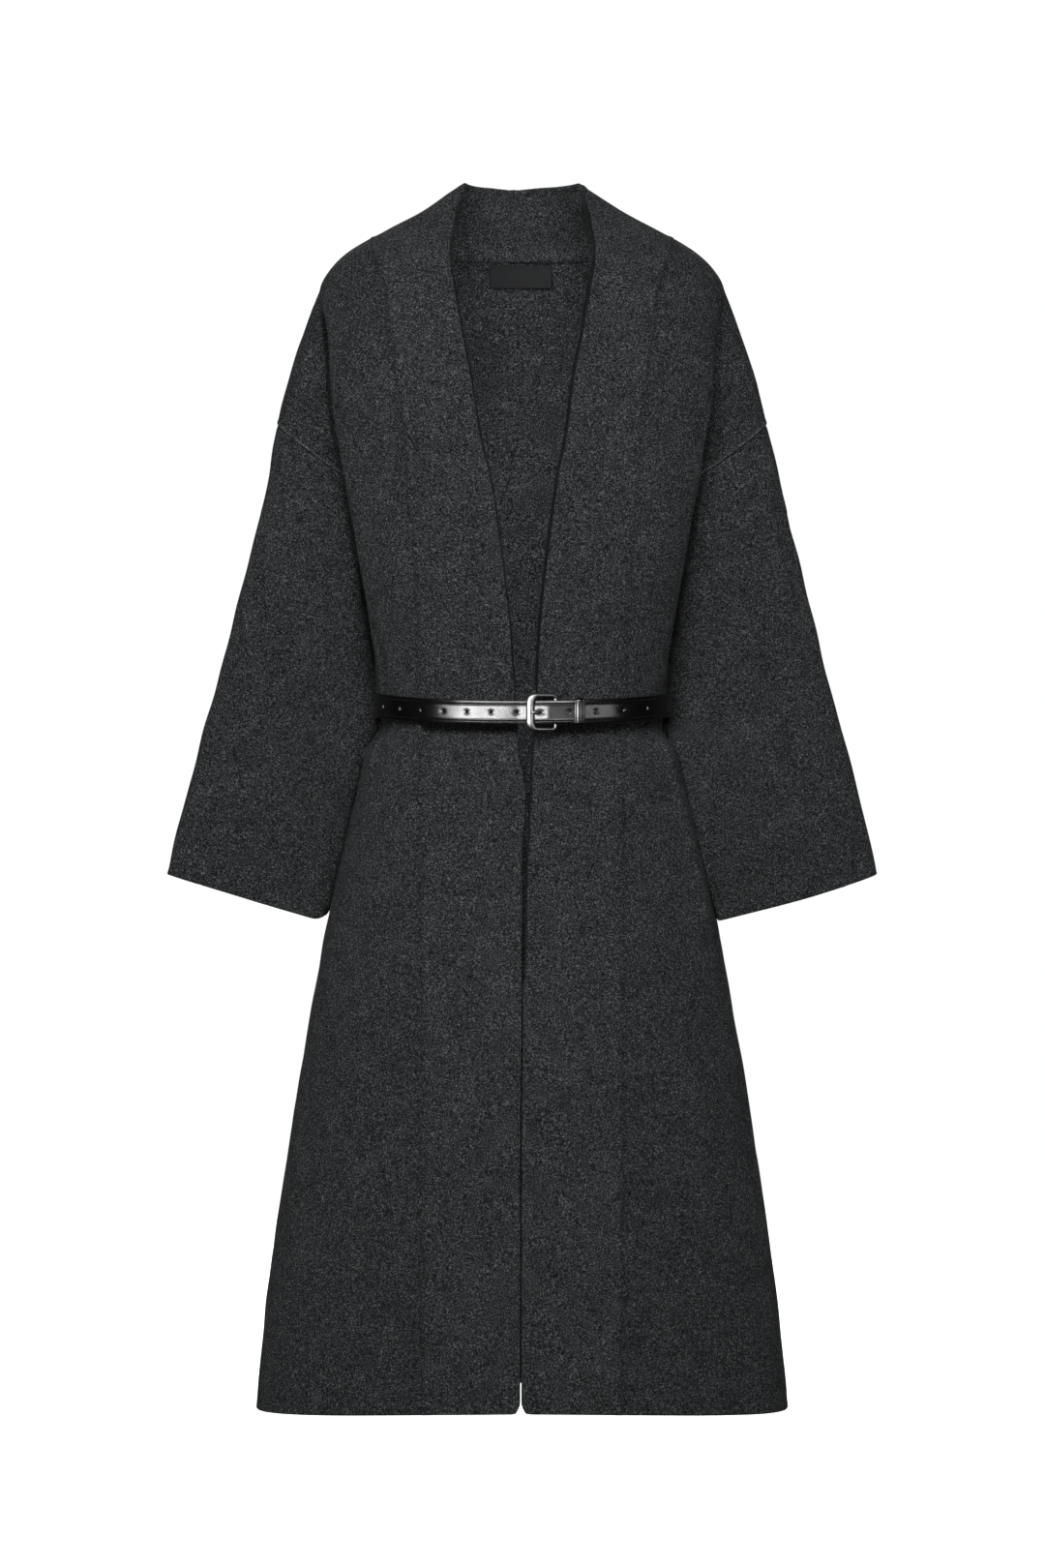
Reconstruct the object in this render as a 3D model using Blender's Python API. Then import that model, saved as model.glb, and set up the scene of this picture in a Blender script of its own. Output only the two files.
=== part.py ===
# Long open-front knit coat with a standing band collar, drop shoulders, wide sleeves and a leather belt.
# Worn, hollow form. +Z up, the front faces -Y, the wearer's left is +X.
# Sizes below are millimetres; the origin is between the shoulders, where the coat is held.
import math

import bmesh
import bpy
import numpy as np
from mathutils import Matrix, Vector

# ------------------------------------------------------------------ driving sizes
MM = 0.001
KNIT_WALL = 3.0
SEAM_GAP = 0.4
SECTION_POWER = 2.5          # superellipse power of the horizontal sections

HEM_FRONT_Z = -1124.0        # hem at centre front and centre back
HEM_SIDE_DROP = 9.0          # how much lower the hem hangs at the sides
HEM_CORNER = (10.0, 4.2)     # rounded lower corner of the front edge: height, width
COLLAR_TOP_BACK_Z = 73.5
COLLAR_PEAK_Z = 76.0
NECK_SEAM_BACK_Z = 7.0
NECK_SEAM_SIDE_Z = 20.0
SHOULDER_FOLD_Z = -31.0      # where the front fold starts on the shoulder line

SHOULDER_END = (239.2, -162.4)   # x, z of the upper end of the sleeve seam
ARMPIT = (134.7, -236.8)         # x, z of its lower end
ARMHOLE_FRONT, ARMHOLE_BACK = 32.0, 44.0
ARMHOLE_DIP = 7.0
ARMHOLE_ROUND = 0.85
ARMPIT_PINCH = 0.5
SLEEVE_AXIS = (0.235, 0.0, -0.972)

BELT_FRONT_Z, BELT_SIDE_Z = -448.6, -439.3
BELT_WIDTH, BELT_THICK = 23.0, 2.6
BELT_STAND, TAIL_STAND, TAIL_END_STAND = 2.0, 6.2, 5.0
BELT_START_X = 36.0          # buckle end of the strap
TAIL_END_TURN = 1.78         # radians past centre front, on the wearer's left side
HOLE_PITCH, HOLE_RADIUS, PRONG_HOLE_RADIUS = 24.4, 1.5, 2.9
PRONG_HOLE_X = 18.5
HOLES_BEFORE, HOLES_AFTER = 7, 5
BUCKLE_LEFT_X, BUCKLE_RIGHT_X, BUCKLE_HALF_HEIGHT = 6.2, 31.6, 15.8
BUCKLE_WIRE = 2.3
PRONG_WIRE = 1.15
KEEPER_X, KEEPER_LENGTH, KEEPER_WALL = 53.8, 9.8, 1.2

LABEL_X = (-32.6, 29.7)
LABEL_Z = (-17.6, 4.4)
LABEL_THICK = 0.8

# horizontal sections: height, half width (to the front fold above the waist), depth of front and back,
# how far the front and back folds stand off the side line, how deep the sleeve hollow is, fold strength
SECTION_COLUMNS = ("z", "half", "front", "back", "fold_front", "fold_back", "hollow", "fold")
SECTIONS = (
    (76, 57.4, 0, 42, 0, 0, 0, 1),
    (64, 76, 14, 49, 0, 0, 0, 1),
    (50, 95, 27, 57, 0, 0, 0, 1),
    (41, 110, 34.5, 63, 0, 0, 0, 1),
    (27, 139, 46, 73, 0, 0, 0, 1),
    (20, 150, 52, 77, 0, 0, 0, 1),
    (11, 166, 59, 83, 0, 0, 0, 1),
    (0, 180.5, 66, 88, 0, 0, 0, 1),
    (-12, 191, 72, 91, 0, 0, 0, 1),
    (-31, 200, 78.5, 95, 0, 0, 0, 1),
    (-38, 199, 80, 96, 7, 9, 0, 1),
    (-50, 196, 83, 97.5, 17, 21, 0, 1),
    (-72, 191, 87, 99, 29, 37, 0, 1),
    (-111, 188, 94, 102, 42, 52, 0, 1),
    (-145, 186, 97, 103, 46, 58, 0, 1),
    (-199, 177, 100, 104, 44, 62, 20, 1),
    (-237, 170.5, 101, 104, 41, 62, 35.8, 1),
    (-279, 163, 101.5, 103, 37, 61, 29, 1),
    (-333, 155.5, 101, 100, 31, 58, 18, 0.8),
    (-379, 149, 99.5, 97, 27, 54, 8, 0.45),
    (-417, 143.5, 98, 95, 25, 48, 2, 0.12),
    (-431, 141.5, 97, 94, 24, 46, 0, 0),
    (-464, 141.5, 97, 94, 24, 46, 0, 0),
    (-484, 151, 98, 95.5, 24, 46, 0, 0),
    (-533, 164.5, 101, 99.5, 24, 46, 0, 0),
    (-632, 187.5, 105, 106, 24, 46, 0, 0),
    (-756, 211, 109, 111, 24, 46, 0, 0),
    (-909, 235.5, 113.5, 115, 24, 46, 0, 0),
    (-1062, 256.5, 117, 118.5, 24, 46, 0, 0),
    (-1140, 264, 118.5, 120, 24, 46, 0, 0),
)

# front band by height: its free edge (centre front) and its seam to the front panel
BAND_COLUMNS = ("z", "edge", "seam")
BAND = (
    (76, 57.4, 150), (50, 62.7, 150), (20, 67, 150), (7, 68.8, 147), (-10, 68.2, 141),
    (-30, 64.8, 134.5), (-77, 56.7, 127.6), (-134, 46.3, 120.4), (-183, 39.2, 113.7),
    (-221, 30.8, 110), (-264, 24.3, 107), (-326, 16.5, 98), (-375, 11.8, 94.5), (-447, 7.9, 92),
    (-514, 5.1, 91.5), (-534, 3.7, 91.3), (-555, 2.0, 91.2), (-580, 0.9, 91.2), (-1140, 0.9, 90.5),
)

# sleeve by height: its inner edge, how far that edge sits back, and the bulge of its front and back
SLEEVE_COLUMNS = ("z", "inner", "set_back", "front", "back")
SLEEVE = (
    (-236.8, 134.7, 0, 32, 44), (-279, 140, 6, 32, 38), (-333, 144.5, 18, 33, 34),
    (-379, 147, 28, 33, 32), (-431, 147.5, 35, 32, 31), (-464, 149, 36, 31, 30), (-508, 156, 37, 30, 29),
    (-556, 166.5, 37, 29, 28), (-632, 186, 33, 27, 26), (-656, 194, 31, 26, 26),
)
SLEEVE_OUTER_COLUMNS = ("z", "outer", "set_back")
SLEEVE_OUTER = (
    (-31, 200, 0), (-69, 215, 0), (-107, 227.5, 0), (-145, 236.5, 0), (-162.4, 239.2, 0), (-183, 243.5, 1),
    (-260, 261, 5), (-336, 280, 9), (-413, 299, 13), (-489, 320, 16), (-565, 340, 18), (-607, 350, 20),
)
CUFF_OUTER_Z, CUFF_INNER_Z = -607.0, -655.0


# ------------------------------------------------------------------ helpers
def read(table, columns, name, z):
    """Smooth monotone value of one named column at height z (rows run downwards)."""
    zs = np.array([row[0] for row in table][::-1], float)
    vs = np.array([row[columns.index(name)] for row in table][::-1], float)
    z = min(max(z, zs[0]), zs[-1])
    h, d = np.diff(zs), np.diff(vs) / np.diff(zs)
    m = np.zeros(len(zs))
    m[0], m[-1] = d[0], d[-1]
    for i in range(1, len(zs) - 1):
        if d[i - 1] * d[i] > 0:
            a, b = 2 * h[i] + h[i - 1], h[i] + 2 * h[i - 1]
            m[i] = (a + b) / (a / d[i - 1] + b / d[i])
    i = min(int(np.searchsorted(zs, z, side="right")) - 1, len(h) - 1)
    t = (z - zs[i]) / h[i]
    return float((2 * t**3 - 3 * t**2 + 1) * vs[i] + (t**3 - 2 * t**2 + t) * h[i] * m[i]
                 + (3 * t**2 - 2 * t**3) * vs[i + 1] + (t**3 - t**2) * h[i] * m[i + 1])


def section(name, z):
    return read(SECTIONS, SECTION_COLUMNS, name, z)


def band(name, z):
    return read(BAND, BAND_COLUMNS, name, z)


def smooth(t):
    t = min(max(t, 0.0), 1.0)
    return t * t * (3 - 2 * t)


def mix(a, b, t):
    return a + (b - a) * t


def depth(x, z, face):
    """y of the folded section's broad part at (x, z); face -1 is the front, +1 the back."""
    half = section("half", z)
    name, fold_name = ("front", "fold_front") if face < 0 else ("back", "fold_back")
    reach, fold, strength = section(name, z), section(fold_name, z), section("fold", z)
    r = min(abs(x) / half, 1.0)
    folded = fold + (reach - fold) * math.sqrt(max(0.0, 1 - r**SECTION_POWER))
    plain = reach * math.sqrt(max(0.0, 1 - r**SECTION_POWER))
    return face * mix(plain, folded, strength)


def hermite(p0, t0, p1, t1, t):
    p0, t0, p1, t1 = (np.array(v, float) for v in (p0, t0, p1, t1))
    return ((2 * t**3 - 3 * t**2 + 1) * p0 + (t**3 - 2 * t**2 + t) * t0
            + (3 * t**2 - 2 * t**3) * p1 + (t**3 - t**2) * t1)


def pinch(turn):
    """The sleeve is slimmer towards the armpit."""
    return 1 - ARMPIT_PINCH * smooth((1 - math.cos(turn)) / 2)


def armhole(turn, face):
    """Point of the sleeve seam; turn 0 is its upper end, pi the armpit."""
    c = np.array(((SHOULDER_END[0] + ARMPIT[0]) / 2, 0, (SHOULDER_END[1] + ARMPIT[1]) / 2))
    h = np.array(((SHOULDER_END[0] - ARMPIT[0]) / 2, 0, (SHOULDER_END[1] - ARMPIT[1]) / 2))
    s = max(math.sin(turn), 0.0)
    bulge = (ARMHOLE_FRONT if face < 0 else ARMHOLE_BACK) * pinch(turn)
    return (c + math.cos(turn) * h + np.array((0, face * bulge * s**ARMHOLE_ROUND, 0))
            + ARMHOLE_DIP * s * np.array(SLEEVE_AXIS))


def armhole_normal(turn, face):
    """Outward direction across the wall at the sleeve seam, shared by both pieces there."""
    e = 0.02
    t = armhole(min(turn + e, math.pi), face) - armhole(max(turn - e, 0.0), face)
    if turn < e or turn > math.pi - e:
        t = np.array((0, face, 0)) if turn < e else np.array((0, -face, 0))
    n = np.cross(t, np.array(SLEEVE_AXIS)) * -face
    n = n / np.linalg.norm(n)
    n = mix(n, np.array((0.1, 0, -1.0)), smooth((turn / math.pi - 0.55) / 0.45))
    return n / np.linalg.norm(n)


def surface_normal(x, z, face):
    """Outward direction of the broad surface, shared by two pieces that meet on it."""
    e = 0.4
    x = min(x, section("half", z) - 2 * e)
    dx = (depth(x + e, z, face) - depth(x - e, z, face)) / (2 * e)
    dz = (depth(x, z + e, face) - depth(x, z - e, face)) / (2 * e)
    n = face * np.array((-dx, 1.0, -dz))
    return n / np.linalg.norm(n)


def ridge_normal(z):
    """Outward direction on the shoulder line, in its own plane."""
    e = 1.0
    n = np.array((1.0, 0.0, -(section("half", z + e) - section("half", z - e)) / (2 * e)))
    return n / np.linalg.norm(n)


def grid_normals(p, closed=False):
    """Unit normals of a point grid, from its rows and columns."""
    if closed:
        q = np.concatenate((p[:, -1:], p, p[:, :1]), axis=1)
        du = np.gradient(q, axis=1)[:, 1:-1]
    else:
        du = np.gradient(p, axis=1)
    n = np.cross(du, np.gradient(p, axis=0))
    return n / np.maximum(np.linalg.norm(n, axis=2, keepdims=True), 1e-9)


def material(name, colour, roughness, metallic=0.0):
    m = bpy.data.materials.new(name)
    m.use_nodes = True
    s = m.node_tree.nodes["Principled BSDF"]
    s.inputs["Base Color"].default_value = (*colour, 1)
    s.inputs["Roughness"].default_value = roughness
    s.inputs["Metallic"].default_value = metallic
    return m


def add_object(name, mesh, mat, collection=None):
    obj = bpy.data.objects.new(name, mesh)
    (collection or coat).objects.link(obj)
    if mat:
        mesh.materials.append(mat)
    return obj


def shell(name, outer, normals, mat, thick=KNIT_WALL, closed=False, mirror=False):
    """A wall between an outer grid of points and the same grid moved in along its normals."""
    rows, cols = outer.shape[:2]
    inner = outer - normals * thick
    bm = bmesh.new()
    layers = []
    for points in (outer, inner):
        layers.append([[bm.verts.new(Vector(((-1 if mirror else 1) * q[0], q[1], q[2])) * MM) for q in row]
                       for row in points])
    a, b = layers
    last = cols if closed else cols - 1
    for i in range(rows - 1):
        for j in range(last):
            k = (j + 1) % cols
            bm.faces.new((a[i][j], a[i][k], a[i + 1][k], a[i + 1][j]))
            bm.faces.new((b[i][j], b[i + 1][j], b[i + 1][k], b[i][k]))
    for j in range(last):
        k = (j + 1) % cols
        bm.faces.new((a[0][k], a[0][j], b[0][j], b[0][k]))
        bm.faces.new((a[-1][j], a[-1][k], b[-1][k], b[-1][j]))
    if not closed:
        for i in range(rows - 1):
            bm.faces.new((a[i][0], a[i + 1][0], b[i + 1][0], b[i][0]))
            bm.faces.new((a[i + 1][-1], a[i][-1], b[i][-1], b[i + 1][-1]))
    bmesh.ops.recalc_face_normals(bm, faces=bm.faces)
    bmesh.ops.triangulate(bm, faces=bm.faces)
    mesh = bpy.data.meshes.new(name)
    bm.to_mesh(mesh)
    bm.free()
    mesh.shade_smooth()
    mesh.set_sharp_from_angle(angle=math.radians(40))
    return add_object(name, mesh, mat)


def hem_z(x, half):
    return HEM_FRONT_Z - HEM_SIDE_DROP * min(abs(x) / half, 1.0) ** 2


# ------------------------------------------------------------------ start clean
for old in list(bpy.data.objects):
    bpy.data.objects.remove(old, do_unlink=True)
coat = bpy.data.collections.new("long_knit_coat")
bpy.context.scene.collection.children.link(coat)
cutters = bpy.data.collections.new("cutters")
bpy.context.scene.collection.children.link(cutters)

KNIT_COLOUR = (0.026, 0.029, 0.031)
mat_knit = {n: material("knit_" + n, KNIT_COLOUR, 0.95)
            for n in ("back", "front_left", "front_right", "collar_left", "collar_right", "band_left", "band_right",
                      "sleeve_left", "sleeve_right")}
mat_strap = material("leather_strap", (0.006, 0.006, 0.006), 0.3)
mat_keeper = material("leather_keeper", (0.006, 0.006, 0.006), 0.32)
mat_frame = material("metal_frame", (0.72, 0.72, 0.71), 0.18, 1.0)
mat_prong = material("metal_prong", (0.70, 0.70, 0.69), 0.2, 1.0)
mat_label = material("woven_label", (0.012, 0.012, 0.013), 0.6)

# ------------------------------------------------------------------ body panels
# upper rows fan out from the shoulder seam to the armhole; lower rows are level
FAN = (0.0, 0.02, 0.06, 0.13, 0.22, 0.34, 0.47, 0.6, 0.73, 0.86, 0.95, 1.0)
LOWER = (-258, -282, -318, -356, -392, -417, -431, -447, -464, -476, -492, -530, -600, -690, -790, -900, -1010, -1113)
ARM_Z = ARMPIT[1]
NECK_SIDE_Z = NECK_SEAM_SIDE_Z - SEAM_GAP
FOLD_IN = np.array((-46.0, 24.0, 0.0))      # how the cloth turns in behind a fold
HOLLOW_END = np.array((0.0, 58.0, 0.0))     # and how it rounds the bottom of the sleeve hollow


def neck_point(t):
    """Back neck seam; t 0 is centre back, 1 the shoulder line."""
    x = 150.0 * math.sin(t * math.pi / 2)
    return x, mix(NECK_SEAM_BACK_Z, NECK_SEAM_SIDE_Z, (x / 150.0) ** 3)


def broad_points(q, face, start_x, start_z, fractions, end_z):
    """Points of a row from its inner start to the fold; q 0 lies on the shoulder line."""
    pts = []
    half_end = section("half", end_z)
    for a in fractions:
        z = mix(start_z, end_z, a)
        spread = 1 - (1 - a) ** 1.8
        ridge_x = section("half", mix(NECK_SIDE_Z, SHOULDER_FOLD_Z, a))
        ridge_x -= (section("half", NECK_SIDE_Z) - start_x) * (1 - a)
        x = mix(ridge_x, mix(start_x, half_end, spread), smooth(q / 0.25))
        x = min(x, section("half", z))
        pts.append(np.array((x, depth(x, z, face), z)))
    return pts


def side_points(q, face, fractions):
    """Points of a fan row from the fold out to the sleeve seam."""
    fold_z = mix(SHOULDER_FOLD_Z, ARM_Z, q)
    half = section("half", fold_z)
    p0 = np.array((half, depth(half, fold_z, face), fold_z))
    p1 = armhole(math.pi * q, face)
    s = smooth(q / 0.3)
    t0 = mix(np.array((46.0, 0, -128.0)), np.array((-20.0, -face * 44.0, -6.0)), s)
    t1 = mix(np.array((26.0, 0, -128.0)), np.array(SLEEVE_AXIS) * 62.0, s)
    t0 = mix(t0, FOLD_IN * (1, -face, 1), smooth((q - 0.6) / 0.35))
    t1 = mix(t1, HOLLOW_END * (1, -face, 1), smooth((q - 0.75) / 0.25))
    return [hermite(p0, t0, p1, t1, c) for c in fractions]


def level_points(z, face, start_x, inner_fractions, outer_fractions):
    """A level row below the armpit: broad part to the fold, then in to the side seam."""
    half = section("half", z)
    reach = section("front" if face < 0 else "back", z)
    fold = section("fold_front" if face < 0 else "fold_back", z)
    strength, hollow = section("fold", z), section("hollow", z)
    plain_x = half * (1 - (fold / reach) ** 2) ** (1 / SECTION_POWER)
    lowest = z <= HEM_FRONT_Z + 1
    pts = []
    for a in inner_fractions:
        spread = 1 - (1 - a) ** 1.8
        xf = mix(start_x, half, spread)
        xp = mix(start_x, plain_x, spread)
        rf, rp = (min(v / half, 1.0) ** SECTION_POWER for v in (xf, xp))
        yf = fold + (reach - fold) * math.sqrt(max(0.0, 1 - rf))
        yp = reach * math.sqrt(max(0.0, 1 - rp))
        pts.append(np.array((mix(xp, xf, strength), face * mix(yp, yf, strength), z)))
    for c in outer_fractions:
        yp = fold * (1 - c)
        xp = half * (1 - (yp / reach) ** 2) ** (1 / SECTION_POWER)
        h = hermite((half, face * fold, z), FOLD_IN * (1, -face, 1), (half - hollow, 0, z), HOLLOW_END * (1, -face, 1), c)
        pts.append(mix(np.array((xp, face * yp, z)), h, strength))
    if lowest:
        for p in pts:
            p[2] = hem_z(p[0], half)
    return pts


OUT_FRACTIONS = (0.12, 0.3, 0.5, 0.72, 0.93, 1.0)


def panel(face, start, fractions):
    """Half of a body panel: rows from the shoulder seam to the hem, columns out to the side."""
    rows = []
    for q in FAN:
        sx, sz = start(q, mix(NECK_SIDE_Z, ARM_Z, q))
        rows.append(broad_points(q, face, sx, sz, fractions, mix(SHOULDER_FOLD_Z, ARM_Z, q))
                    + side_points(q, face, OUT_FRACTIONS))
    for z in LOWER + (HEM_FRONT_Z,):
        sx, sz = start(None, z)
        rows.append(level_points(z, face, sx, fractions, OUT_FRACTIONS))
    return np.array(rows)


def seam_normal_fix(p, n, face):
    """Walls end square at the shoulder seam, the sleeve seam and the side seam."""
    fan = len(FAN)
    for j in range(p.shape[1]):
        n[0, j, 1] = 0
    for i in range(fan):
        n[i, -1] = armhole_normal(math.pi * FAN[i], face)
    for i in range(fan, p.shape[0]):
        n[i, -1] = (n[i, -1, 0], 0, n[i, -1, 2])
    return n / np.linalg.norm(n, axis=2, keepdims=True)


def seam_inset(p, face):
    """Pull the outer edges back by half a seam gap."""
    fan = len(FAN)
    p[0, :, 1] += face * SEAM_GAP / 2
    p[fan - 1:, -1, 1] += face * SEAM_GAP / 2
    for i in range(0, fan):
        p[i, -1] -= np.array(SLEEVE_AXIS) * SEAM_GAP / 2
    p[0, -1, 1] = face * SEAM_GAP / 2
    return p


def outward(p, n, inside=(0, 0)):
    """Turn all normals away from the middle of the coat, judged at the broad part of the panel."""
    i, j = p.shape[0] // 2, 1
    ref = p[i, j] - np.array((inside[0], inside[1], p[i, j, 2]))
    return n if float(np.dot(n[i, j], ref)) > 0 else -n


FRONT_FRACTIONS = (0.0, 0.22, 0.46, 0.7, 0.88, 1.0)


def front_start(q, z):
    x = band("seam", z)
    return min(x + SEAM_GAP, section("half", z)), z


front = panel(-1, front_start, FRONT_FRACTIONS[:-1] + (0.985,))
n = outward(front, grid_normals(front))
n = seam_normal_fix(front, n, -1)
SEAM_ROWS = tuple(mix(NECK_SIDE_Z, ARM_Z, q) for q in FAN) + LOWER + (HEM_FRONT_Z,)
for i, z in enumerate(SEAM_ROWS):                  # same wall direction as the band at their seam
    n[i, 0] = surface_normal(band("seam", z), z, -1) if i else ridge_normal(NECK_SIDE_Z)
front = seam_inset(front, -1)
for side, mirrored in (("left", False), ("right", True)):
    shell("front_" + side, front, n, mat_knit["front_" + side], mirror=mirrored)

# the back panel runs from centre back to both sides, with the neck seam as part of its top row
NECK_FRACTIONS = (0.0, 0.14, 0.3, 0.52, 0.76, 1.0)


def back_half():
    rows = []
    for q in FAN:
        end_z = mix(SHOULDER_FOLD_Z, ARM_Z, q)
        centre_z = mix(NECK_SEAM_BACK_Z, ARM_Z, q)
        shoulder_z = mix(NECK_SIDE_Z, ARM_Z, q)
        neck = []
        for t in NECK_FRACTIONS[:-1]:
            x, z = neck_point(t)
            x, z = mix(x, 120.0 * t, smooth(q)), z + mix(centre_z, shoulder_z, t**3) - mix(NECK_SEAM_BACK_Z, NECK_SEAM_SIDE_Z, t**3)
            x = min(x, section("half", z))
            neck.append(np.array((x, depth(x, z, 1), z)))
        start_x = mix(section("half", NECK_SIDE_Z), 120.0, smooth(q))
        rows.append(neck + broad_points(q, 1, start_x, shoulder_z, (0.0, 0.3, 0.6, 0.85, 0.985), end_z)
                    + side_points(q, 1, OUT_FRACTIONS))
    for z in LOWER + (HEM_FRONT_Z,):
        half = section("half", z)
        start_x = min(120.0, 0.7 * half)
        neck = []
        for t in NECK_FRACTIONS[:-1]:
            x = start_x * t
            zz = hem_z(x, half) if z <= HEM_FRONT_Z + 1 else z
            neck.append(np.array((x, depth(x, z, 1), zz)))
        rows.append(neck + level_points(z, 1, start_x, (0.0, 0.3, 0.6, 0.85, 0.985), OUT_FRACTIONS))
    return np.array(rows)


half_back = back_half()
mirror_half = half_back[:, :0:-1].copy()
mirror_half[:, :, 0] *= -1
whole = np.concatenate((mirror_half, half_back), axis=1)
wn = grid_normals(whole)
m = mirror_half.shape[1]
ref = wn[20, m]
wn = wn if ref[1] > 0 else -wn
hn = seam_normal_fix(half_back, wn[:, m:].copy(), 1)
NECK_COLS = len(NECK_FRACTIONS)
for j, t in enumerate(NECK_FRACTIONS[:-1]):         # same wall direction as the collar at the neck seam
    hn[0, j] = surface_normal(*neck_point(t), 1)
hn[0, NECK_COLS - 1] = ridge_normal(NECK_SIDE_Z)
half_back = seam_inset(half_back, 1)
for j in range(NECK_COLS - 1):
    half_back[0, j, 1] -= SEAM_GAP / 2
    half_back[0, j, 2] -= SEAM_GAP
mh, mn = half_back[:, :0:-1].copy(), hn[:, :0:-1].copy()
mh[:, :, 0] *= -1
mn[:, :, 0] *= -1
back_points = np.concatenate((mh, half_back), axis=1)
back_normals = np.concatenate((mn, hn), axis=1)
shell("back", back_points, back_normals, mat_knit["back"])

# ------------------------------------------------------------------ band and collar
BAND_ACROSS = (0.0, 0.25, 0.5, 0.75, 1.0)
# which height of the free edge lies across from a height of the seam
PAIR_COLUMNS = ("seam_z", "edge_z")
PAIRS = ((20, 76), (13, 50), (5, 27), (-7, 7), (-20, -10), (-36, -30), (-80, -77), (-135, -134), (-1140, -1140))


def band_rows():
    rows = []
    for t in NECK_FRACTIONS[:-1]:
        sx, sz = neck_point(t)
        ex = 57.4 * math.sin(t * math.pi / 2)
        ez = mix(COLLAR_TOP_BACK_Z, COLLAR_PEAK_Z, (ex / 57.4) ** 2)
        row = []
        for c in BAND_ACROSS:
            z = mix(ez, sz, c)
            x = min(mix(ex, sx, c), section("half", z))
            row.append(np.array((x, depth(x, z, 1), z)))
        rows.append(row)
    for k, sz in enumerate((NECK_SEAM_SIDE_Z,) + SEAM_ROWS[1:]):
        ez = read(PAIRS, PAIR_COLUMNS, "edge_z", sz)
        last = sz == HEM_FRONT_Z
        ex, sx = band("edge", ez), band("seam", sz)
        if last:
            ex += HEM_CORNER[1]
        row = []
        for c in BAND_ACROSS:
            z = mix(ez, sz, c)
            half = section("half", z)
            x = half if k == 0 else min(mix(ex, sx, c), half)
            row.append(np.array((x, depth(x, z, -1), hem_z(x, half) if last else z)))
        rows.append(row)
    return np.array(rows)


band_points = band_rows()
bn = grid_normals(band_points)
bn = bn if bn[20, 2, 1] < 0 else -bn
bn[0, :, 0] = 0                                     # the halves meet square at centre back
for i in range(bn.shape[0]):
    k = i - (NECK_COLS - 1)
    if k < 0:
        bn[i, -1] = surface_normal(*neck_point(NECK_FRACTIONS[i]), 1)
    else:
        bn[i, -1] = surface_normal(band("seam", SEAM_ROWS[k]), SEAM_ROWS[k], -1) if k else ridge_normal(NECK_SIDE_Z)
bn = bn / np.linalg.norm(bn, axis=2, keepdims=True)
band_points[0, :, 0] += SEAM_GAP / 2
SHOULDER_ROW = NECK_COLS - 1                        # behind the shoulder line it is collar, in front of it band
collar_points, front_points = band_points[:SHOULDER_ROW + 1].copy(), band_points[SHOULDER_ROW:].copy()
collar_points[-1, :, 1] += SEAM_GAP / 2
front_points[0, :, 1] -= SEAM_GAP / 2
for side, mirrored in (("left", False), ("right", True)):
    shell("collar_" + side, collar_points, bn[:SHOULDER_ROW + 1], mat_knit["collar_" + side], mirror=mirrored)
    shell("band_" + side, front_points, bn[SHOULDER_ROW:], mat_knit["band_" + side], mirror=mirrored)

# ------------------------------------------------------------------ sleeves
SLEEVE_RINGS = (0.0, 0.035, 0.1, 0.2, 0.32, 0.44, 0.56, 0.68, 0.8, 0.9, 1.0)
SLEEVE_TURNS = [math.pi * q for q in FAN] + [2 * math.pi - math.pi * q for q in FAN[-2:0:-1]]


def sleeve_ring(s):
    oz, iz = mix(SHOULDER_END[1], CUFF_OUTER_Z, s), mix(ARMPIT[1], CUFF_INNER_Z, s)
    o = np.array((read(SLEEVE_OUTER, SLEEVE_OUTER_COLUMNS, "outer", oz),
                  read(SLEEVE_OUTER, SLEEVE_OUTER_COLUMNS, "set_back", oz), oz))
    i = np.array((read(SLEEVE, SLEEVE_COLUMNS, "inner", iz), read(SLEEVE, SLEEVE_COLUMNS, "set_back", iz), iz))
    power = mix(ARMHOLE_ROUND, 1.15, smooth(s / 0.3))
    dip = ARMHOLE_DIP * (1 - smooth(s / 0.5))
    ring = []
    for turn in SLEEVE_TURNS:
        face = -1 if turn <= math.pi else 1
        sn = abs(math.sin(turn))
        bulge = read(SLEEVE, SLEEVE_COLUMNS, "front" if face < 0 else "back", iz)
        bulge *= mix(pinch(turn), 1.0, smooth(s / 0.5))
        p = (o + i) / 2 + (o - i) / 2 * math.cos(turn) + np.array((0, face * bulge * sn**power, 0))
        ring.append(p + dip * sn * np.array(SLEEVE_AXIS))
    return ring


sleeve = np.array([sleeve_ring(s) for s in SLEEVE_RINGS])
sn = grid_normals(sleeve, closed=True)
mid = sleeve.mean(axis=1, keepdims=True)
sn = sn if float(((sleeve - mid) * sn).sum(axis=2).mean()) > 0 else -sn
for k, turn in enumerate(SLEEVE_TURNS):
    sn[0, k] = armhole_normal(turn, -1) if turn <= math.pi else armhole_normal(2 * math.pi - turn, 1)
sleeve[0] += np.array(SLEEVE_AXIS) * SEAM_GAP / 2
for side, mirrored in (("left", False), ("right", True)):
    shell("sleeve_" + side, sleeve, sn, mat_knit["sleeve_" + side], closed=True, mirror=mirrored)

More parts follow.
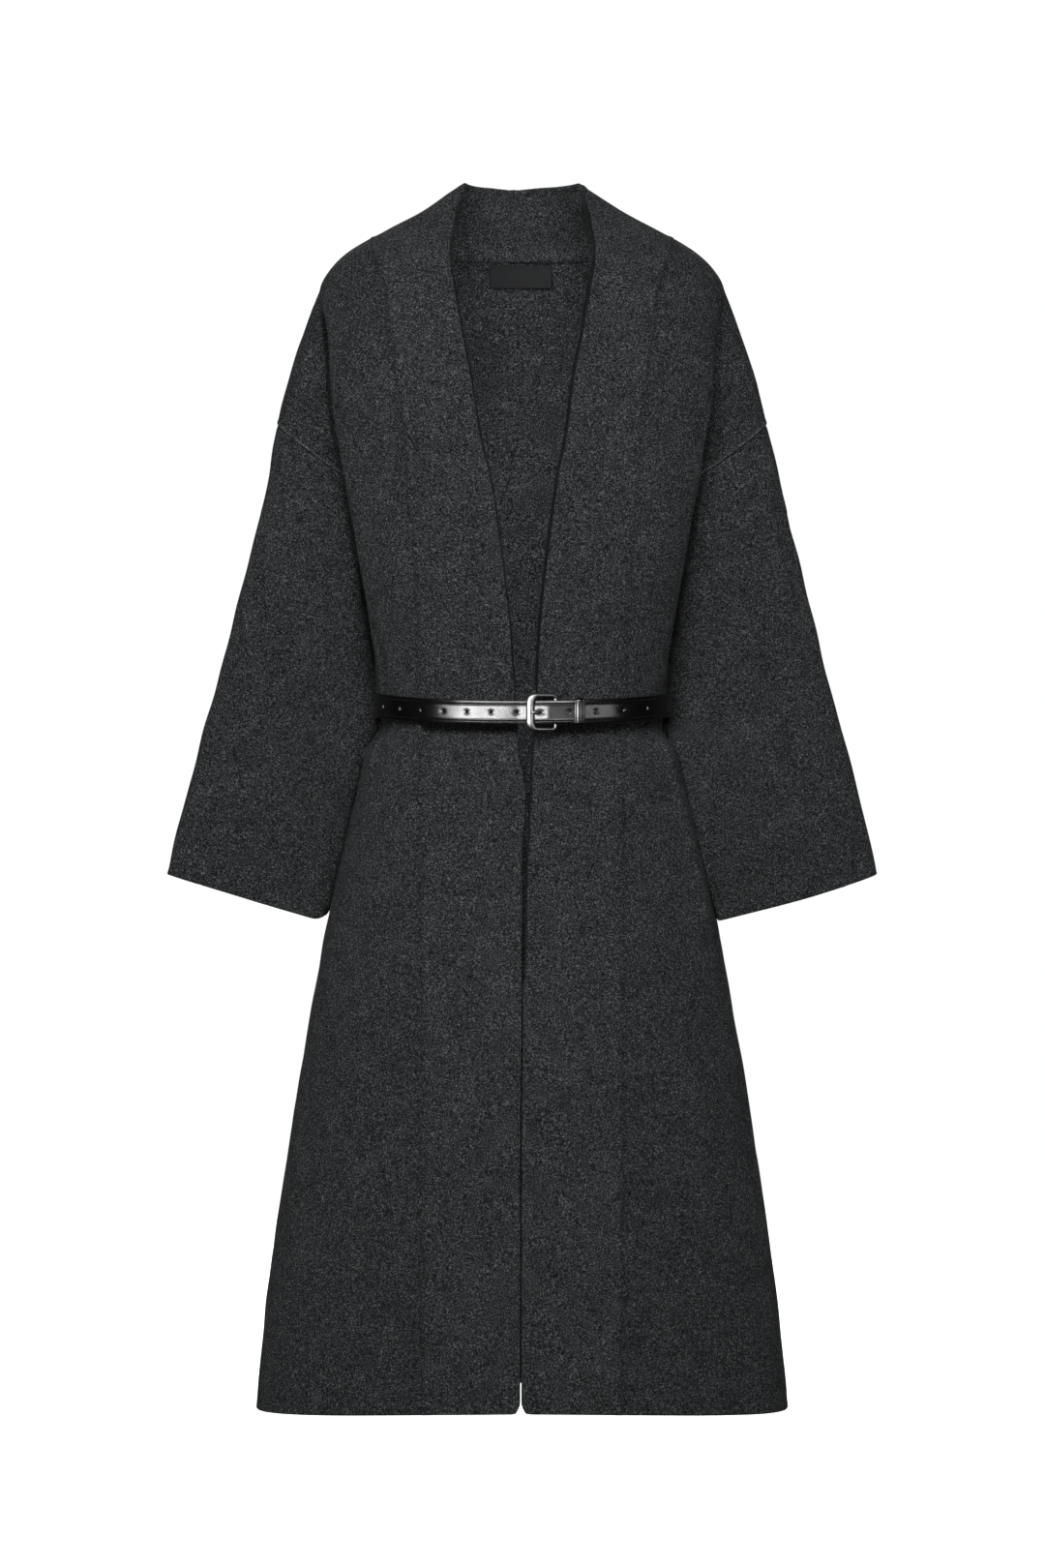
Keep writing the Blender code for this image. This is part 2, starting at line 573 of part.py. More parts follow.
# ------------------------------------------------------------------ belt line
def belt_line(count=2400):
    """Dense points of the waist outline and their lengths; starts at centre front, goes to the wearer's left."""
    z = (BELT_FRONT_Z + BELT_SIDE_Z) / 2
    half, fr, bk = section("half", z), section("front", z), section("back", z)
    pts = []
    for k in range(count + 1):
        a = 2 * math.pi * k / count
        s, c = math.sin(a), math.cos(a)
        x = half * math.copysign(abs(s) ** (2 / SECTION_POWER), s)
        y = -fr * c if c > 0 else -bk * c
        dip = max(0.0, -y / fr) ** 1.5
        pts.append((x, y, mix(BELT_SIDE_Z, BELT_FRONT_Z, dip)))
    pts = np.array(pts)
    step = np.linalg.norm(np.diff(pts[:, :2], axis=0), axis=1)
    return pts, np.concatenate(((0.0,), np.cumsum(step)))


BELT_PTS, BELT_LEN = belt_line()
WAIST = float(BELT_LEN[-1])


def on_belt(s):
    s = s % WAIST
    return np.array([np.interp(s, BELT_LEN, BELT_PTS[:, k]) for k in range(3)])


def belt_frame(s, stand=0.0, up=0.0):
    """Point at length s round the waist, raised off the cloth; with its along and outward directions."""
    along = on_belt(s + 2.0) - on_belt(s - 2.0)
    along[2] = 0
    along /= np.linalg.norm(along)
    out = np.array((along[1], -along[0], 0.0))
    return on_belt(s) + out * stand + np.array((0, 0, up)), along, out


def length_at(x):
    """Length from centre front to a front point at x on the wearer's left."""
    k = int(np.argmax(BELT_PTS[:, 0] >= x))
    return float(np.interp(x, BELT_PTS[k - 1:k + 1, 0], BELT_LEN[k - 1:k + 1]))


def strap_stand(s):
    """Height of the strap's inner face: on the cloth, then up over the buckle bar, and as the tail over the strap."""
    t = s - WAIST
    rise = mix(BELT_STAND, TAIL_STAND, smooth((t + 5.0) / 34.0))
    return mix(rise, TAIL_END_STAND, smooth((t - 64.0) / 45.0))


STRAP_START = length_at(BELT_START_X)
STRAP_END = WAIST + float(BELT_LEN[int(TAIL_END_TURN / (2 * math.pi) * (len(BELT_LEN) - 1))])
STRAP_STEPS = 96


def strap_mesh():
    bm = bmesh.new()
    rings = []
    for k in range(STRAP_STEPS + 1):
        s = mix(STRAP_START, STRAP_END, k / STRAP_STEPS)
        h = BELT_WIDTH / 2 * min(1.0, 0.45 + 0.55 * math.sqrt(max(0.0, (STRAP_END - s) / 14.0)))
        low = strap_stand(s)
        ring = [belt_frame(s, st, up)[0] for st, up in
                ((low, -h), (low, h), (low + BELT_THICK, h), (low + BELT_THICK, -h))]
        rings.append([bm.verts.new(Vector(q) * MM) for q in ring])
    for a, b in zip(rings, rings[1:]):
        for i in range(4):
            bm.faces.new((a[i], a[(i + 1) % 4], b[(i + 1) % 4], b[i]))
    bm.faces.new(rings[0][::-1])
    bm.faces.new(rings[-1])
    bmesh.ops.recalc_face_normals(bm, faces=bm.faces)
    mesh = bpy.data.meshes.new("belt_strap")
    bm.to_mesh(mesh)
    bm.free()
    return mesh


def hole_cutter():
    bm = bmesh.new()
    prong_s = WAIST + length_at(PRONG_HOLE_X)
    for k in range(-HOLES_BEFORE, HOLES_AFTER + 1):
        s = prong_s + k * HOLE_PITCH
        centre, along, out = belt_frame(s, strap_stand(s) + BELT_THICK / 2)
        turn = Matrix((along, (0, 0, 1), out)).transposed().to_4x4()
        r = (HOLE_RADIUS if k else PRONG_HOLE_RADIUS) * MM
        bmesh.ops.create_cone(bm, cap_ends=True, segments=10, radius1=r, radius2=r,
                              depth=(BELT_THICK + (1.0 if k > 1 else 2.0)) * MM,
                              matrix=Matrix.Translation(Vector(centre) * MM) @ turn)
    bmesh.ops.recalc_face_normals(bm, faces=bm.faces)
    mesh = bpy.data.meshes.new("strap_holes")
    bm.to_mesh(mesh)
    bm.free()
    cutter = add_object("strap_holes", mesh, None, cutters)
    cutter.hide_render = True
    cutter.display_type = "WIRE"
    return cutter


strap = add_object("belt_strap", strap_mesh(), mat_strap)
cut = strap.modifiers.new("holes", "BOOLEAN")
cut.operation = "DIFFERENCE"
cut.object = hole_cutter()


def wire(name, points, radius, mat, cyclic, resolution=2):
    """A bent metal wire through the given points."""
    data = bpy.data.curves.new(name, "CURVE")
    data.dimensions = "3D"
    data.bevel_depth = radius * MM
    data.bevel_resolution = resolution
    data.use_fill_caps = True
    spline = data.splines.new("POLY")
    spline.points.add(len(points) - 1)
    for p, q in zip(spline.points, points):
        p.co = (*(Vector(q) * MM), 1)
    spline.use_cyclic_u = cyclic
    data.materials.append(mat)
    obj = bpy.data.objects.new(name, data)
    coat.objects.link(obj)
    return obj


# buckle frame: a rounded rectangle that rises from its hinge bar to its outer bar
BAR_STAND, OUTER_STAND, BUCKLE_CORNER = 3.3, 8.9, 6.5


def buckle_points():
    cx, hx = (BUCKLE_LEFT_X + BUCKLE_RIGHT_X) / 2, (BUCKLE_RIGHT_X - BUCKLE_LEFT_X) / 2
    pts = []
    for qx, qz, start in ((1, 1, 0), (-1, 1, 90), (-1, -1, 180), (1, -1, 270)):
        for k in range(5):
            a = math.radians(start + 22.5 * k)
            x = cx + qx * (hx - BUCKLE_CORNER) + BUCKLE_CORNER * math.cos(a)
            up = qz * (BUCKLE_HALF_HEIGHT - BUCKLE_CORNER) + BUCKLE_CORNER * math.sin(a)
            t = (BUCKLE_RIGHT_X - x) / (BUCKLE_RIGHT_X - BUCKLE_LEFT_X)
            pts.append(belt_frame(length_at(x), mix(BAR_STAND, OUTER_STAND, t), up)[0])
    return pts


wire("buckle_frame", buckle_points(), BUCKLE_WIRE, mat_frame, True)
# prong: from the hinge bar under the tail, up through its hole and over the outer bar (x, height off the cloth)
PRONG_ROUTE = ((28.9, 3.2), (24.0, 3.4), (20.6, 3.9), (18.8, 5.4), (18.3, 8.4), (15.8, 10.7), (12.0, 12.4), (8.5, 12.9), (4.6, 12.9))
wire("buckle_prong", [belt_frame(length_at(x), st)[0] for x, st in PRONG_ROUTE], PRONG_WIRE, mat_prong, False)


def box(bm, centre, along, out, size):
    turn = Matrix((along, (0, 0, 1), out)).transposed().to_4x4()
    bmesh.ops.create_cube(bm, size=1.0, matrix=Matrix.Translation(Vector(centre) * MM) @ turn
                          @ Matrix.Diagonal((size[0] * MM, size[1] * MM, size[2] * MM, 1)))


# keeper: a leather loop round the strap and its tail
keeper_s = length_at(KEEPER_X)
LOOP_IN = (BELT_STAND - 0.4, TAIL_STAND + BELT_THICK + 0.4, BELT_WIDTH / 2 + 0.45)
for name, grow, length, collection in (("belt_keeper", KEEPER_WALL, KEEPER_LENGTH, coat),
                                       ("keeper_opening", 0.0, KEEPER_LENGTH + 4, cutters)):
    bm = bmesh.new()
    centre, along, out = belt_frame(keeper_s, (LOOP_IN[0] + LOOP_IN[1]) / 2)
    box(bm, centre, along, out, (length, 2 * (LOOP_IN[2] + grow), LOOP_IN[1] - LOOP_IN[0] + 2 * grow))
    mesh = bpy.data.meshes.new(name)
    bm.to_mesh(mesh)
    bm.free()
    obj = add_object(name, mesh, mat_keeper if collection is coat else None, collection)
    if collection is cutters:
        obj.hide_render = True
        obj.display_type = "WIRE"
        cut = bpy.data.objects["belt_keeper"].modifiers.new("opening", "BOOLEAN")
        cut.operation = "DIFFERENCE"
        cut.object = obj

# ------------------------------------------------------------------ label
LABEL_STEPS = (6, 2)
label, label_n = [], []
for i in range(LABEL_STEPS[1] + 1):
    row, nrow = [], []
    for j in range(LABEL_STEPS[0] + 1):
        x, z = mix(*LABEL_X, j / LABEL_STEPS[0]), mix(LABEL_Z[1], LABEL_Z[0], i / LABEL_STEPS[1])
        d = surface_normal(abs(x), z, 1) * (math.copysign(1, x), 1, 1)
        row.append(np.array((x, depth(x, z, 1), z)) - d * (KNIT_WALL + 0.9))
        nrow.append(d)
    label.append(row)
    label_n.append(nrow)
shell("neck_label", np.array(label), np.array(label_n), mat_label, thick=LABEL_THICK)
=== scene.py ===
# Long open-front knit coat with a standing band collar, drop shoulders, wide sleeves and a leather belt.
# Lengths in the shape code are millimetres; meshes are written in metres.
import math

import bmesh
import bpy
import numpy as np
from mathutils import Matrix, Vector


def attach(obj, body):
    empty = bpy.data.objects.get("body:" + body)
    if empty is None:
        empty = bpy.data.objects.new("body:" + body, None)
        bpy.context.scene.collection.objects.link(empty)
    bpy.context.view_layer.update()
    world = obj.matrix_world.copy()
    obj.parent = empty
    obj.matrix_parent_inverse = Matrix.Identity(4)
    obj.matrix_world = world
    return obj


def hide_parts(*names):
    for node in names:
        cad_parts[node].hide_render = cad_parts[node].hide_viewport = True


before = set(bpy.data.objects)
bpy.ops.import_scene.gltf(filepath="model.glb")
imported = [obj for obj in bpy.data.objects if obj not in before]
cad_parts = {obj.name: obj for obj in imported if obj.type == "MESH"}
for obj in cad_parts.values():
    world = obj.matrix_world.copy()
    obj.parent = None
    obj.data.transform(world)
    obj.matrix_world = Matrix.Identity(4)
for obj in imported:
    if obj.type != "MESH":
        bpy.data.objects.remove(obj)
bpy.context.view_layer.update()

MM = 0.001
SCENE = bpy.context.scene

# ------------------------------------------------------------------ driving sizes (as in the CAD part)
KNIT = 3.0
POWER = 2.5
HEM_Z, HEM_DROP = -1124.0, 9.0
COLLAR_TOP_BACK_Z, COLLAR_PEAK_Z, COLLAR_PEAK_X = 73.5, 76.0, 57.4
NECK_BACK_Z, NECK_SIDE_Z, NECK_SIDE_X = 7.0, 20.0, 150.0
SHOULDER_FOLD_Z = -31.0
SHOULDER_END, ARMPIT = (241.4, -162.4), (134.7, -236.8)
ARM_Z = ARMPIT[1]
ARMHOLE_FRONT, ARMHOLE_BACK, ARMHOLE_DIP, ARMHOLE_ROUND, ARMPIT_PINCH = 32.0, 44.0, 7.0, 0.85, 0.5
SLEEVE_AXIS = np.array((0.235, 0.0, -0.972))
CUFF_OUTER_Z, CUFF_INNER_Z = -607.0, -655.0
FOLD_IN, HOLLOW_END = np.array((-46.0, 24.0, 0.0)), np.array((0.0, 58.0, 0.0))

SECTIONS = (
    (76, 57.4, 0, 42, 0, 0, 0, 1), (64, 76, 14, 49, 0, 0, 0, 1), (50, 95, 27, 57, 0, 0, 0, 1),
    (41, 110, 34.5, 63, 0, 0, 0, 1), (27, 139, 46, 73, 0, 0, 0, 1), (20, 150, 52, 77, 0, 0, 0, 1),
    (11, 166, 59, 83, 0, 0, 0, 1), (0, 180.5, 66, 88, 0, 0, 0, 1), (-12, 191, 72, 91, 0, 0, 0, 1),
    (-31, 200, 78.5, 95, 0, 0, 0, 1), (-38, 199, 80, 96, 7, 9, 0, 1), (-50, 196, 83, 97.5, 17, 21, 0, 1),
    (-72, 191, 87, 99, 29, 37, 0, 1), (-111, 188, 94, 102, 42, 52, 0, 1), (-145, 186, 97, 103, 46, 58, 0, 1),
    (-199, 177, 100, 104, 44, 62, 20, 1), (-237, 170.5, 101, 104, 41, 62, 35.8, 1),
    (-279, 163, 101.5, 103, 37, 61, 29, 1), (-333, 155.5, 101, 100, 31, 58, 18, 0.8),
    (-379, 149, 99.5, 97, 27, 54, 8, 0.45), (-417, 143.5, 98, 95, 25, 48, 2, 0.12),
    (-431, 141.5, 97, 94, 24, 46, 0, 0), (-464, 141.5, 97, 94, 24, 46, 0, 0),
    (-484, 151, 98, 95.5, 24, 46, 0, 0), (-533, 164.5, 101, 99.5, 24, 46, 0, 0),
    (-632, 187.5, 105, 106, 24, 46, 0, 0), (-756, 211, 109, 111, 24, 46, 0, 0),
    (-909, 235.5, 113.5, 115, 24, 46, 0, 0), (-1062, 256.5, 117, 118.5, 24, 46, 0, 0),
    (-1140, 264, 118.5, 120, 24, 46, 0, 0),
)
BAND = (
    (76, 57.4, 150), (50, 62.7, 150), (20, 67, 150), (7, 68.8, 147), (-10, 68.2, 141),
    (-30, 64.8, 134.5), (-77, 56.7, 127.6), (-134, 46.3, 120.4), (-183, 39.2, 113.7),
    (-221, 30.8, 112), (-264, 24.3, 109), (-326, 16.5, 103.5), (-375, 11.8, 101.5), (-447, 7.9, 99.5),
    (-514, 5.1, 98.5), (-534, 3.7, 98), (-555, 2.0, 97.8), (-580, 0.9, 97.6), (-1140, 0.9, 96),
)
PAIRS = ((20, 76), (13, 50), (5, 27), (-7, 7), (-20, -10), (-36, -30), (-80, -77), (-135, -134), (-1140, -1140))
SLEEVE = (
    (-236.8, 134.7, 0, 32, 44), (-279, 140, 6, 32, 38), (-333, 144.5, 18, 33, 34),
    (-379, 143.5, 30, 33, 32), (-417, 138.5, 39, 33, 31), (-448, 135.5, 43, 32, 30), (-470, 138, 43, 31, 30), (-490, 146, 41, 30, 29),
    (-515, 154.5, 39, 30, 29), (-556, 166.5, 37, 29, 28), (-632, 186, 33, 27, 26), (-656, 194, 31, 26, 26),
)
SLEEVE_OUTER = (
    (-31, 200, 0), (-69, 216, 0), (-107, 229.5, 0), (-145, 238.5, 0), (-162.4, 241.4, 0), (-183, 245.6, 1),
    (-260, 263, 5), (-336, 282, 9), (-413, 301, 13), (-489, 322, 16), (-565, 342, 18), (-607, 352, 20),
)


# ------------------------------------------------------------------ small maths
def mix(a, b, t):
    return a + (b - a) * t


def smooth(t):
    t = np.clip(t, 0.0, 1.0)
    return t * t * (3 - 2 * t)


def bell(t):
    return np.exp(-np.square(t))


def pchip(zs, vs, z):
    """Monotone cubic through the points; straight past both ends."""
    h, d = np.diff(zs), np.diff(vs) / np.diff(zs)
    m = np.zeros(len(zs))
    m[0], m[-1] = d[0], d[-1]
    for i in range(1, len(zs) - 1):
        if d[i - 1] * d[i] > 0:
            a, b = 2 * h[i] + h[i - 1], h[i] + 2 * h[i - 1]
            m[i] = (a + b) / (a / d[i - 1] + b / d[i])
    i = np.clip(np.searchsorted(zs, z, side="right") - 1, 0, len(h) - 1)
    t = (z - zs[i]) / h[i]
    v = ((2 * t**3 - 3 * t**2 + 1) * vs[i] + (t**3 - 2 * t**2 + t) * h[i] * m[i]
         + (3 * t**2 - 2 * t**3) * vs[i + 1] + (t**3 - t**2) * h[i] * m[i + 1])
    v = np.where(z < zs[0], vs[0] + (z - zs[0]) * m[0], v)
    return np.where(z > zs[-1], vs[-1] + (z - zs[-1]) * m[-1], v)


class Table:
    """Named columns by height, slightly eased so that no row shows as a kink."""

    def __init__(self, names, rows, ease=5.0):
        rows = np.array(rows, float)[::-1]
        self.z = np.arange(rows[0, 0] - 60, rows[-1, 0] + 60, 0.5)
        k = np.arange(-40, 41) * 0.5
        kernel = np.exp(-0.5 * (k / max(ease, 0.1)) ** 2)
        kernel /= kernel.sum()
        self.columns = {}
        for i, name in enumerate(names, 1):
            v = pchip(rows[:, 0], rows[:, i], self.z)
            self.columns[name] = np.convolve(v, kernel, "same") if ease else v

    def __call__(self, name, z):
        return np.interp(z, self.z, self.columns[name])


section = Table(("half", "front", "back", "fold_front", "fold_back", "hollow", "fold"), SECTIONS)
band = Table(("edge", "seam"), BAND)
pairs = Table(("edge_z",), PAIRS, 0)
sleeve_in = Table(("inner", "set_back", "front", "back"), SLEEVE)
sleeve_out = Table(("outer", "set_back"), SLEEVE_OUTER)


def side_values(z, face):
    f = "front" if face < 0 else "back"
    return section(f, z), np.maximum(section("fold_" + f, z), 0.0), np.clip(section("fold", z), 0, 1)


def theta_at(x, z):
    """Angle round the section of a point at x; pi/2 is the fold or side."""
    r = np.clip(np.abs(x) / section("half", z), 0, 1)
    return np.arcsin(np.clip(r ** (POWER / 2), 0, 1))


def on_body(theta, z, face):
    half = section("half", z)
    reach, fold, strength = side_values(z, face)
    c = np.cos(theta)
    x = half * np.maximum(np.sin(theta), 0) ** (2 / POWER)
    y = face * mix(reach * c, fold + (reach - fold) * c, strength)
    return np.stack(np.broadcast_arrays(x, y, np.asarray(z, float)), axis=-1)


def hermite(p0, t0, p1, t1, t):
    t = np.asarray(t)[:, None]
    return ((2 * t**3 - 3 * t**2 + 1) * p0 + (t**3 - 2 * t**2 + t) * t0
            + (3 * t**2 - 2 * t**3) * p1 + (t**3 - t**2) * t1)


def pinch(turn):
    return 1 - ARMPIT_PINCH * smooth((1 - np.cos(turn)) / 2)


def armhole(turn, face):
    top, low = np.array((SHOULDER_END[0], 0, SHOULDER_END[1])), np.array((ARMPIT[0], 0, ARMPIT[1]))
    s = max(math.sin(turn), 0.0)
    bulge = (ARMHOLE_FRONT if face < 0 else ARMHOLE_BACK) * pinch(turn)
    return ((top + low) / 2 + math.cos(turn) * (top - low) / 2
            + np.array((0, face * bulge * s**ARMHOLE_ROUND, 0)) + ARMHOLE_DIP * s * SLEEVE_AXIS)


def resample(line, count, power=1.0):
    """The same line with evenly spaced points."""
    d = np.concatenate(((0,), np.cumsum(np.linalg.norm(np.diff(line, axis=0), axis=1))))
    at = np.linspace(0, 1, count) ** power * d[-1]
    return np.stack([np.interp(at, d, line[:, k]) for k in range(3)], axis=1)


def side_points(line, count):
    """Points along a line, closer together towards both of its ends."""
    t = np.linspace(0, 1, count)
    return resample_at(line, mix(t, (1 - np.cos(math.pi * t)) / 2, 0.8))


def resample_at(line, fractions):
    d = np.concatenate(((0,), np.cumsum(np.linalg.norm(np.diff(line, axis=0), axis=1))))
    return np.stack([np.interp(fractions * d[-1], d, line[:, k]) for k in range(3)], axis=1)


def normals(p, closed=False):
    if closed:
        q = np.concatenate((p[:, -1:], p, p[:, :1]), axis=1)
        du = np.gradient(q, axis=1)[:, 1:-1]
    else:
        du = np.gradient(p, axis=1)
    n = np.cross(du, np.gradient(p, axis=0))
    return n / np.maximum(np.linalg.norm(n, axis=2, keepdims=True), 1e-9)


def relax(p, passes, closed=False, strength=0.5):
    """Even out small kinks inside a grid; its border stays."""
    for _ in range(passes):
        q = p.copy()
        if closed:
            avg = (np.roll(p, 1, 1) + np.roll(p, -1, 1)) / 2
            q[1:-1] = mix(p[1:-1], (avg[1:-1] + (p[2:] + p[:-2]) / 2) / 2, strength)
        else:
            avg = (p[1:-1, 2:] + p[1:-1, :-2] + p[2:, 1:-1] + p[:-2, 1:-1]) / 4
            q[1:-1, 1:-1] = mix(p[1:-1, 1:-1], avg, strength)
        p = q
    return p


RNG = np.random.RandomState(11)
WAVES = [(RNG.uniform(0, 2 * math.pi), 2 * math.pi / RNG.uniform(55, 190), RNG.uniform(0, 2 * math.pi)) for _ in range(14)]


def ripple(a, b):
    """Soft unevenness of hand-finished cloth, about -1 to 1."""
    v = 0.0
    for turn, k, phase in WAVES:
        v = v + np.sin(k * (a * math.cos(turn) + b * math.sin(turn)) + phase)
    return v / 4.2


# ------------------------------------------------------------------ cloth meshes
def border_tangent(edge, inner, n):
    t = edge - inner
    t = t - n * (t * n).sum(axis=-1, keepdims=True)
    return t / np.maximum(np.linalg.norm(t, axis=-1, keepdims=True), 1e-9)


def cloth(name, p, n, mat, edges, closed=False, mirror=False, thick=KNIT, seam=None, turned=None):
    """A wall of cloth with rounded borders.
    p: outer points, rows by columns; n: outward directions; edges: how far each border rounds out;
    turned: a darker material without sheen and where it goes, painted shade along the edge that turns in and along
    joins."""
    rows, cols = p.shape[:2]
    thick = np.broadcast_to(np.asarray(thick, float), (rows, cols))
    m = p - n * (thick / 2)[..., None]
    du = np.linalg.norm(np.diff(p, axis=1), axis=2)
    dv = np.linalg.norm(np.diff(p, axis=0), axis=2)
    u = np.concatenate((np.zeros((rows, 1)), np.cumsum(du, axis=1)), axis=1)
    v = np.concatenate((np.zeros((1, cols)), np.cumsum(dv, axis=0)), axis=0)
    v = v - v[rows // 3: rows // 3 + 1]
    h = np.ones((rows, cols))
    half = thick / 2
    near = np.full((rows, cols), 500.0) if seam is None else np.array(seam, float)
    painted_shade_flag = np.zeros((rows, cols)) if turned is None else np.array(turned[1], float)

    def grow(axis, first, reach, steps):
        nonlocal m, n, u, v, h, half, near, painted_shade_flag
        if axis == 0:
            take = (lambda a, k: a[k:k + 1]) if first else (lambda a, k: a[a.shape[0] - 1 - k: a.shape[0] - k])
        else:
            take = (lambda a, k: a[:, k:k + 1]) if first else (lambda a, k: a[:, a.shape[1] - 1 - k: a.shape[1] - k])
        t = border_tangent(take(m, 0), take(m, 1), take(n, 0))
        reach, inset = reach if isinstance(reach, tuple) else (reach, 0.0)
        base = take(m, 0) - t * inset
        if axis == 0:
            m[0 if first else -1] = base[0]
        else:
            m[:, 0 if first else -1] = base[:, 0]
        sign = -1 if first else 1
        new = []
        for k in range(1, steps + 1):
            a = math.pi / 2 * k / steps
            new.append((base + t * reach * math.sin(a), take(n, 0),
                        take(u, 0) + (sign * reach * a if axis == 1 else 0),
                        take(v, 0) + (sign * reach * a if axis == 0 else 0),
                        take(h, 0) * (math.cos(a) if k < steps else 0.0), take(half, 0), take(near, 0), take(painted_shade_flag, 0)))
        if first:
            new = new[::-1]
        stacks = []
        for i, arr in enumerate((m, n, u, v, h, half, near, painted_shade_flag)):
            parts = [x[i] for x in new]
            stacks.append(np.concatenate(parts + [arr] if first else [arr] + parts, axis=axis))
        m, n, u, v, h, half, near, painted_shade_flag = stacks

    for key, axis, first in (("top", 0, True), ("bottom", 0, False), ("left", 1, True), ("right", 1, False)):
        if key in edges:
            grow(axis, first, edges[key], 4 if isinstance(edges[key], tuple) or edges[key] > 1.0 else 2)

    R, C = m.shape[:2]
    outer = (m + n * (half * h)[..., None]).reshape(-1, 3)
    inner = (m - n * (half * h)[..., None]).reshape(-1, 3)
    io = np.arange(R * C).reshape(R, C)
    rim = np.zeros((R, C), bool)
    rim[0] = rim[-1] = True
    if not closed:
        rim[:, 0] = rim[:, -1] = True
    keep = np.flatnonzero(~rim.ravel())
    ii = io.ravel().copy()
    ii[keep] = R * C + np.arange(len(keep))
    ii = ii.reshape(R, C)
    verts = np.concatenate((outer, inner[keep])) * MM
    uv = np.stack((u, v), axis=-1).reshape(-1, 2)
    uv = np.concatenate((uv, uv[keep])) * MM

    def quads(idx):
        right = np.roll(idx, -1, 1) if closed else idx[:, 1:]
        left = idx if closed else idx[:, :-1]
        return np.stack((left[:-1], right[:-1], right[1:], left[1:]), axis=-1).reshape(-1, 4)

    faces = np.concatenate((quads(io), quads(ii)[:, ::-1]))
    f = quads(io)[len(quads(io)) // 2]
    q = verts[f]
    fn = np.cross(q[1] - q[0], q[2] - q[0])
    if float(np.dot(fn, n.reshape(-1, 3)[f[0]])) < 0:
        faces = faces[:, ::-1]
    if mirror:
        verts = verts * np.array((-1, 1, 1))
        faces = faces[:, ::-1]
    mesh = bpy.data.meshes.new(name)
    mesh.from_pydata(verts.tolist(), [], faces.tolist())
    layer = mesh.uv_layers.new(name="knit")
    index = np.empty(len(mesh.loops), int)
    mesh.loops.foreach_get("vertex_index", index)
    luv = uv[index].reshape(-1, 4, 2)
    if closed:                                      # the seam column runs on, it does not jump back
        span = luv[:, :, 0].max(axis=1) - luv[:, :, 0].min(axis=1)
        wide = span > 0.5 * uv[:, 0].max()
        total = float(np.median(uv[:, 0].reshape(-1)[io[:, -1].ravel()])) + 0.003
        fix = luv[wide]
        fix[..., 0] = np.where(fix[..., 0] < total / 2, fix[..., 0] + total, fix[..., 0])
        luv[wide] = fix
    layer.data.foreach_set("uv", luv.reshape(-1).astype(np.float32))
    mesh.polygons.foreach_set("use_smooth", np.ones(len(mesh.polygons), bool))
    flat = near.reshape(-1)
    mesh.attributes.new("seam_mm", "FLOAT", "POINT").data.foreach_set(
        "value", np.concatenate((flat, flat[keep])).astype(np.float32))
    mesh.materials.append(mat)
    if turned is not None:
        mesh.materials.append(turned[0])
        painted_shade_flag = painted_shade_flag.reshape(-1)
        painted_shade_flag = np.concatenate((painted_shade_flag, painted_shade_flag[keep]))
        mesh.polygons.foreach_set("material_index", (painted_shade_flag[faces].min(axis=1) > 0.5).astype(np.int32))
    mesh.update()
    obj = bpy.data.objects.new(name, mesh)
    SCENE.collection.objects.link(obj)
    return obj


# ------------------------------------------------------------------ materials
def new_material(name):
    m = bpy.data.materials.new(name)
    m.use_nodes = True
    return m, m.node_tree, m.node_tree.nodes["Principled BSDF"]


def maths(tree, op, a, b=None, c=None):
    node = tree.nodes.new("ShaderNodeMath")
    node.operation = op
    for k, v in enumerate((a, b, c)):
        if v is None:
            continue
        if isinstance(v, (int, float)):
            node.inputs[k].default_value = v
        else:
            tree.links.new(v, node.inputs[k])
    return node.outputs[0]


def noise(tree, vector, scale, detail=2.0, rough=0.5, distortion=0.0):
    node = tree.nodes.new("ShaderNodeTexNoise")
    node.inputs["Scale"].default_value = scale
    node.inputs["Detail"].default_value = detail
    node.inputs["Roughness"].default_value = rough
    node.inputs["Distortion"].default_value = distortion
    tree.links.new(vector, node.inputs["Vector"])
    return node.outputs["Fac"]


def ramp(tree, fac, stops):
    node = tree.nodes.new("ShaderNodeValToRGB")
    els = node.color_ramp.elements
    while len(els) < len(stops):
        els.new(0.5)
    for e, (pos, col) in zip(els, stops):
        e.position = pos
        e.color = (*col, 1) if len(col) == 3 else col
    tree.links.new(fac, node.inputs["Fac"])
    return node.outputs["Color"]


def bump(tree, height, strength, distance, under=None):
    node = tree.nodes.new("ShaderNodeBump")
    node.inputs["Strength"].default_value = strength
    node.inputs["Distance"].default_value = distance
    tree.links.new(height, node.inputs["Height"])
    if under is not None:
        tree.links.new(under, node.inputs["Normal"])
    return node.outputs["Normal"]


WALE, COURSE = 0.0022, 0.0017        # width and height of one knit stitch


